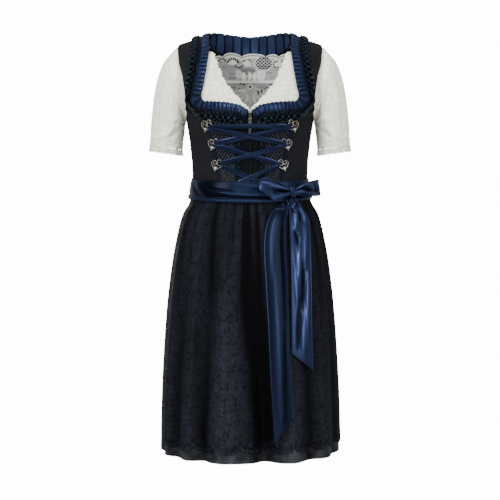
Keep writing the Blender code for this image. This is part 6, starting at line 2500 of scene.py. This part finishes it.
@dataclass
class Lacing:
    """The satin ribbon that crosses the front from hook to hook."""

    finishes: Finishes
    width: float = 0.0114
    cloth: float = 0.0008
    points: int = 90
    rows: int = 11
    # How much narrower the ribbon is at a hook, and how its face is crowned, rolled at its
    # edges, twisted along its run and pinched at the hooks.
    narrowed: float = 0.24
    crown: float = 0.001
    rolled: float = 0.0004
    twist: float = 0.0007
    pinch: float = 0.0009
    # Start x, start height, end x, end height, start out, end out.
    runs: dict[str, tuple[float, ...]] = field(default_factory=lambda: {
        "lacing_top": (-0.09, -0.2155, 0.0885, -0.2135, 0.0105, 0.0105),
        "lacing_one_down": (-0.09, -0.2195, 0.0785, -0.2535, 0.012, 0.012),
        "lacing_one_up": (0.0885, -0.219, -0.0785, -0.2535, 0.009, 0.0105),
        "lacing_two_down": (-0.0765, -0.2585, 0.068, -0.3025, 0.009, 0.009),
        "lacing_two_up": (0.0765, -0.2585, -0.068, -0.3025, 0.0105, 0.0105),
        "lacing_end_left": (-0.065, -0.308, 0.028, -0.348, 0.006, 0.0046),
        "lacing_end_right": (0.065, -0.308, -0.028, -0.348, 0.0078, 0.0062),
    })

    def build(self) -> None:
        """Build each run of the ribbon."""
        share = shares(self.points)
        across = np.linspace(-1.0, 1.0, self.rows)[:, None]
        for number, (name, run) in enumerate(self.runs.items()):
            x0, z0, x1, z1, out0, out1 = run
            ahead = np.array([x1 - x0, z1 - z0]) / math.hypot(x1 - x0, z1 - z0)
            ends = np.minimum(share, 1.0 - share)
            half = self.width / 2 * (1.0 - self.narrowed * bell(ends / 0.035))
            x = x0 + (x1 - x0) * share - ahead[1] * half * across
            z = z0 + (z1 - z0) * share + ahead[0] * half * across
            crown = self.crown * (1.0 - across ** 2)
            crown = crown - self.rolled * bell((np.abs(across) - 1.0) / 0.2)
            twist = self.twist * np.sin(share * 5.0 + number * 1.7) * across
            pinch = self.pinch * bell(ends / 0.05) * np.cos(across * 5.0)
            out = out0 + (out1 - out0) * share + crown + twist + pinch
            grid = FIGURE.at(np.stack([x, z], axis=-1), out + self.cloth)
            hooks = "hook_left_3" if name.startswith("lacing_end") else "hook_left_1"
            edges = bell((np.abs(across) - 0.85) / 0.15)
            # Painted highlights on the rolled edges and where the ribbon twists and is pinched.
            light_and_pattern = 0.27 + 0.32 * edges + 130.0 * (twist + pinch)
            TrimSheet(name, grid, self.finishes.satin, Held.STRETCHED, (hooks,), self.cloth,
                      light_and_pattern=np.clip(light_and_pattern, 0.0, 1.0)).build()


@dataclass
class Hooks:
    """Six pierced lacing hooks: a scrolled heart with a small stone and a hook's eye."""

    finishes: Finishes
    wire: float = 0.00046
    size: float = 0.0126
    lean: float = 16.0
    # Places of one side's hooks, top to bottom: x and height.
    places: Rows = ((0.0965, -0.216), (0.0825, -0.259), (0.075, -0.308))
    # How far out the back and the front of a hook lie.
    out: Pair = (0.0069, 0.0087)
    wire_sides: int = 6
    beads: int = 14
    # Round studs on the heart, in x and z of its flat outline.
    studs: Rows = ((0.0, 0.3), (-0.62, 0.52), (0.62, 0.52))
    # Scrolls of one side of the heart: x and z of the middle, and the reach.
    scrolls: Rows = ((0.42, 0.34, 0.32), (0.26, -0.26, 0.24))
    # The hook's own eye: x, z and radius in the flat outline.
    eye: Triple = (-0.3, 1.02, 0.34)
    # Radius, flatness, and place down the heart of the stone; radius and flatness of a stud.
    stone: Triple = (0.0021, 0.62, -0.42)
    stud: Pair = (0.0013, 0.7)

    def tube(self, build: Build, line: Array, radius: float, closed: bool = False) -> None:
        """Add a wire along a line.

        Args:
            build: The mesh that it is added to.
            line: Points of its centre.
            radius: Its radius.
            closed: Whether it joins its own start.
        """
        ahead = np.roll(line, -1, axis=0) - np.roll(line, 1, axis=0)
        if not closed:
            ahead = np.gradient(line, axis=0)
        ahead /= np.maximum(np.linalg.norm(ahead, axis=1, keepdims=True), 1e-9)
        side = np.cross(ahead, np.array([0.0, 1.0, 0.0]))
        side /= np.maximum(np.linalg.norm(side, axis=1, keepdims=True), 1e-9)
        up = np.cross(side, ahead)
        turns = math.tau * np.arange(self.wire_sides) / self.wire_sides
        rings = [[build.verts.new(Vector(point + radius * (math.cos(t) * a + math.sin(t) * b)))
                  for t in turns] for point, a, b in zip(line, side, up)]
        skin(build, rings, closed)

    def bead(self, build: Build, place: Array, radius: float, flat: float = 1.0) -> None:
        """Add a small bead.

        Args:
            build: The mesh that it is added to.
            place: Its middle.
            radius: Its radius.
            flat: Its depth as a share of its width.
        """
        made = bmesh.ops.create_icosphere(build, subdivisions=2, radius=radius)
        for vert in made["verts"]:
            vert.co.y *= flat
            vert.co += Vector(place)

    def heart(self, count: int = 48) -> Array:
        """Outline of a heart, in x and z, about one unit wide each way."""
        t = math.tau * np.arange(count) / count
        x = 16.0 * np.sin(t) ** 3
        z = 13.0 * np.cos(t) - 5.0 * np.cos(2 * t) - 2.0 * np.cos(3 * t) - np.cos(4 * t)
        return np.stack([x / 17.0, (z + 2.0) / 15.0], axis=1)

    def scroll(self, way: float, x: float, z: float, reach: float) -> Array:
        """A curled scroll inside the heart.

        Args:
            way: One for the right half of the heart, minus one for the left.
            x: Its middle's distance from the heart's middle line.
            z: Its middle's height.
            reach: The radius at its outer end.

        Returns:
            The points of its line, in x and z.
        """
        t = np.linspace(0.0, 5.2, 24)
        curl = reach * (1.0 - t / 6.6)
        return np.stack([way * (x + curl * np.cos(t + 2.4)), z + curl * np.sin(t + 2.4)], axis=1)

    def lift(self, flat: Array, x: float, height: float, out: float) -> Array:
        """Places on the bodice of a flat outline, turned on its side, about a hook's middle.

        Args:
            flat: The outline, in x and z.
            x: The hook's place across.
            height: The hook's height.
            out: How far it lies out.

        Returns:
            The points.
        """
        turn = math.radians(self.lean)
        aside = flat[:, 0] * math.cos(turn) - flat[:, 1] * math.sin(turn)
        up = flat[:, 0] * math.sin(turn) + flat[:, 1] * math.cos(turn)
        line = np.stack([x + aside * self.size, height + up * self.size], axis=1)
        return FIGURE.at(line, np.full(len(line), out))

    def build(self) -> None:
        """Build all hooks and their stones."""
        for side in Side:
            for number, (x, height) in enumerate(self.places, start=1):
                self.build_hook(side, number, x, height)

    def build_hook(self, side: Side, number: int, x: float, height: float) -> None:
        """Build one hook with its stone.

        Args:
            side: The half that it lies on.
            number: Its number from the top.
            x: Its place across.
            height: Its height.
        """
        low, high = self.out[0] + self.wire, self.out[1]
        build = bmesh.new()
        mirror = np.array([side.value, 1.0, 1.0])

        def laid(spot: Pair, out: float) -> Array:
            """One place of the flat hook as it lies on this half."""
            return self.lift(np.array([spot]), x, height, out)[0] * mirror

        middle = (low + high) / 2
        heart = self.heart()
        wires = [(heart, middle, self.wire * 1.45, True)]
        wires += [(self.scroll(way, *scroll), high, self.wire, False)
                  for way in (-1.0, 1.0) for scroll in self.scrolls]
        t = np.linspace(-0.35, 1.2, 16) * math.pi
        eye = np.array(self.eye[:2]) + self.eye[2] * np.stack([np.cos(t), np.sin(t)], axis=1)
        wires.append((eye, high + 0.001, self.wire * 1.4, False))
        for line, out, radius, closed in wires:
            self.tube(build, self.lift(line, x, height, out) * mirror, radius, closed)
        for step in range(self.beads):
            share = (step + 0.5) / self.beads
            spot = heart[int(len(heart) * share)] * 1.02
            self.bead(build, laid(spot, high), 0.0009 + 0.0002 * math.cos(math.tau * share))
        for spot in self.studs:
            self.bead(build, laid(spot, high), *self.stud)
        name = f"hook_{side.hand}_{number}"
        trim(name, build, self.finishes.silver, (name,))
        stone = bmesh.new()
        self.bead(stone, laid((0.0, self.stone[2]), high + 0.0006), *self.stone[:2])
        trim(name + "_stone", stone, self.finishes.stone)


@dataclass
class FrontZip:
    """The front zip: its teeth, its slider and the pull tab that swings on it."""

    finishes: Finishes
    top: float = -0.183
    foot: float = -0.36
    pitch: float = 0.0022
    out: float = 0.0016
    tooth: Triple = (0.0021, 0.0011, 0.0016)
    slider_half: float = 0.0034
    slider_span: Pair = (-0.1965, -0.187)
    hinge_height: float = -0.1945
    hinge_out: float = 0.0081
    # Half width, half thickness and lower end of the pull tab.
    tab: Triple = (0.002, 0.0006, -0.207)
    # How far a tooth is set aside, its half width and half height as shares of the tooth.
    stagger: float = 0.0006
    tooth_half: Pair = (0.8, 0.62)
    # Front and back of the slider's plate, and how narrow its foot is.
    plate: Pair = (0.0071, 0.0041)
    plate_foot: float = 0.72
    # The slider's two ears: inner and outer side, front and back, and below and above the hinge.
    ear: tuple[float, ...] = (0.0024, 0.0033, 0.0092, 0.0066, 0.0014, 0.004)
    # How far the edges of the chain, the slider and the tab are rounded.
    bevels: Triple = (0.0003, 0.0004, 0.00025)
    bevel_edge: float = math.radians(40.0)

    def block(self, build: Build, low: Vector, high: Vector) -> list:
        """Add a box between two corners and give back its points.

        Args:
            build: The mesh that it is added to.
            low: Its lower left front corner.
            high: Its upper right back corner.

        Returns:
            Its points.
        """
        made = bmesh.ops.create_cube(build, size=1.0)["verts"]
        for vert in made:
            vert.co = Vector([(low[i] + high[i]) / 2 + vert.co[i] * (high[i] - low[i])
                              for i in range(3)])
        return made

    def finish(self, build: Build, name: str, bevel: float, body: str,
               look: Look | None = None) -> None:
        """Round the edges of a piece of the zip and dress it, in dark metal unless told.

        Args:
            build: Its mesh.
            name: Its name, also that of its solid.
            bevel: How far its edges are rounded.
            body: The body that it rides on.
            look: Its finish.
        """
        bmesh.ops.bevel(build, geom=build.edges, offset=bevel, segments=2, affect="EDGES",
                        clamp_overlap=True)
        trim(name, build, look or self.finishes.zip_metal, (name,), body, self.bevel_edge)

    def build(self) -> None:
        """Build the zip."""
        chain = bmesh.new()
        half_x, half_z = (self.tooth[i] * self.tooth_half[i] for i in (0, 1))
        for step in range(int((self.top - self.foot) / self.pitch)):
            height = self.foot + (step + 0.5) * self.pitch
            y = FIGURE.form(0.0, height)[1] - self.out
            shift = self.stagger if step % 2 else -self.stagger
            self.block(chain, Vector((shift - half_x, y - self.tooth[2], height - half_z)),
                       Vector((shift + half_x, y, height + half_z)))
        self.finish(chain, "zip_chain", self.bevels[0], GARMENT, self.finishes.coil)
        face = float(FIGURE.form(0.0, self.hinge_height)[1])
        slider = bmesh.new()
        low, high = self.slider_span
        half = self.slider_half
        plate = self.block(slider, Vector((-half, face - self.plate[0], low)),
                           Vector((half, face - self.plate[1], high)))
        for vert in plate:
            if vert.co.z < (low + high) / 2:
                vert.co.x *= self.plate_foot
        inner, outer, front, back, below, above = self.ear
        for way in (-1.0, 1.0):
            left, right = sorted((way * inner, way * outer))
            self.block(slider, Vector((left, face - front, self.hinge_height - below)),
                       Vector((right, face - back, self.hinge_height + above)))
        self.finish(slider, "zip_slider", self.bevels[1], GARMENT)
        self.build_tab(face - self.hinge_out)

    def build_tab(self, depth: float) -> None:
        """Build the pull tab, a slim tongue that is narrower below its head.

        Args:
            depth: The y of the hinge.
        """
        half, thick, foot = self.tab
        head = self.hinge_height + thick
        levels = shares(15)
        widths = half * np.interp(levels, [0.0, 0.12, 0.35, 0.7, 0.9, 1.0],
                                  [0.8, 0.92, 0.62, 0.95, 0.9, 0.45])
        build = bmesh.new()
        rings = []
        for level, wide in zip(levels, widths):
            z = head + (foot - head) * level
            corners = ((-wide, -thick), (wide, -thick), (wide, thick), (-wide, thick))
            rings.append([build.verts.new((x, depth + y, z)) for x, y in corners])
        skin(build, rings)
        self.finish(build, "zip_pull_tab", self.bevels[2], "pull_tab")


@dataclass
class Studio:
    """Camera, soft lights and a plain pale floor."""

    camera_place: Triple = (0.0, -3.5, -0.25)
    aim: Triple = (0.0, 0.0, -0.512)
    lens: float = 105.3
    sensor: float = 36.0
    floor_height: float = -4.3
    floor_size: float = 8.0
    backdrop: float = 14.0
    daylight: float = 0.62
    # Name, place, size and power of each light.
    lights: tuple = (
        ("window", (-2.2, -2.8, 1.3), 1.4, 192.0), ("fill", (2.6, -2.9, 0.5), 1.8, 118.0),
        ("low", (0.2, -3.2, -1.6), 1.4, 28.0), ("top", (0.0, -0.9, 2.4), 1.6, 62.0),
    )

    def build(self) -> None:
        """Build the studio."""
        data = bpy.data.cameras.new("camera")
        data.lens, data.sensor_width = self.lens, self.sensor
        bpy.context.scene.camera = self.aimed("camera", data, self.camera_place)
        half = self.floor_size / 2
        mesh = bpy.data.meshes.new("floor")
        corners = [(x, y, self.floor_height) for x, y in
                   ((-half, -half), (half, -half), (half, half), (-half, half))]
        mesh.from_pydata(corners, [], [(0, 1, 2, 3)])
        mesh.materials.append(FloorPaper().look().material)
        placed("floor", mesh)
        world = bpy.data.worlds.new("studio")
        bpy.context.scene.world = world
        world.use_nodes = True
        nodes, links = world.node_tree.nodes, world.node_tree.links
        seen = nodes.new("ShaderNodeLightPath").outputs["Is Camera Ray"]
        strength = nodes.new("ShaderNodeMapRange")
        strength.inputs["To Min"].default_value = self.daylight
        strength.inputs["To Max"].default_value = self.backdrop
        links.new(seen, strength.inputs["Value"])
        links.new(strength.outputs[0], nodes["Background"].inputs["Strength"])
        nodes["Background"].inputs["Color"].default_value = (1.0, 1.0, 1.0, 1.0)
        for name, place, size, power in self.lights:
            lamp = bpy.data.lights.new(name, "AREA")
            lamp.size, lamp.energy = size, power
            self.aimed(name, lamp, place)

    def aimed(self, name: str, data: bpy.types.ID, place: Triple) -> bpy.types.Object:
        """Put a camera or a light at a place, facing the set.

        Args:
            name: Its name.
            data: The camera or the light.
            place: Where it stands.

        Returns:
            The object.
        """
        piece = placed(name, data)
        piece.location = place
        gaze = Vector(self.aim) - Vector(place)
        piece.rotation_euler = gaze.to_track_quat("-Z", "Y").to_euler()
        return piece


def main() -> None:
    """Build the set piece by piece."""
    logging.basicConfig(level=logging.INFO, format="%(name)s: %(message)s")
    Studio().build()
    finishes = Finishes()
    bodice = Bodice(finishes)
    skirt = Skirt(finishes)
    parts = (bodice, NeckTrims(finishes, bodice), Blouse(finishes, bodice),
             Sleeves(finishes, bodice), skirt, Apron(finishes, skirt),
             SashAndBow(finishes, skirt), Lacing(finishes), Hooks(finishes), FrontZip(finishes))
    for part in parts:
        part.build()
        LOG.info("%s is done", type(part).__name__)


if __name__ == "__main__":
    main()
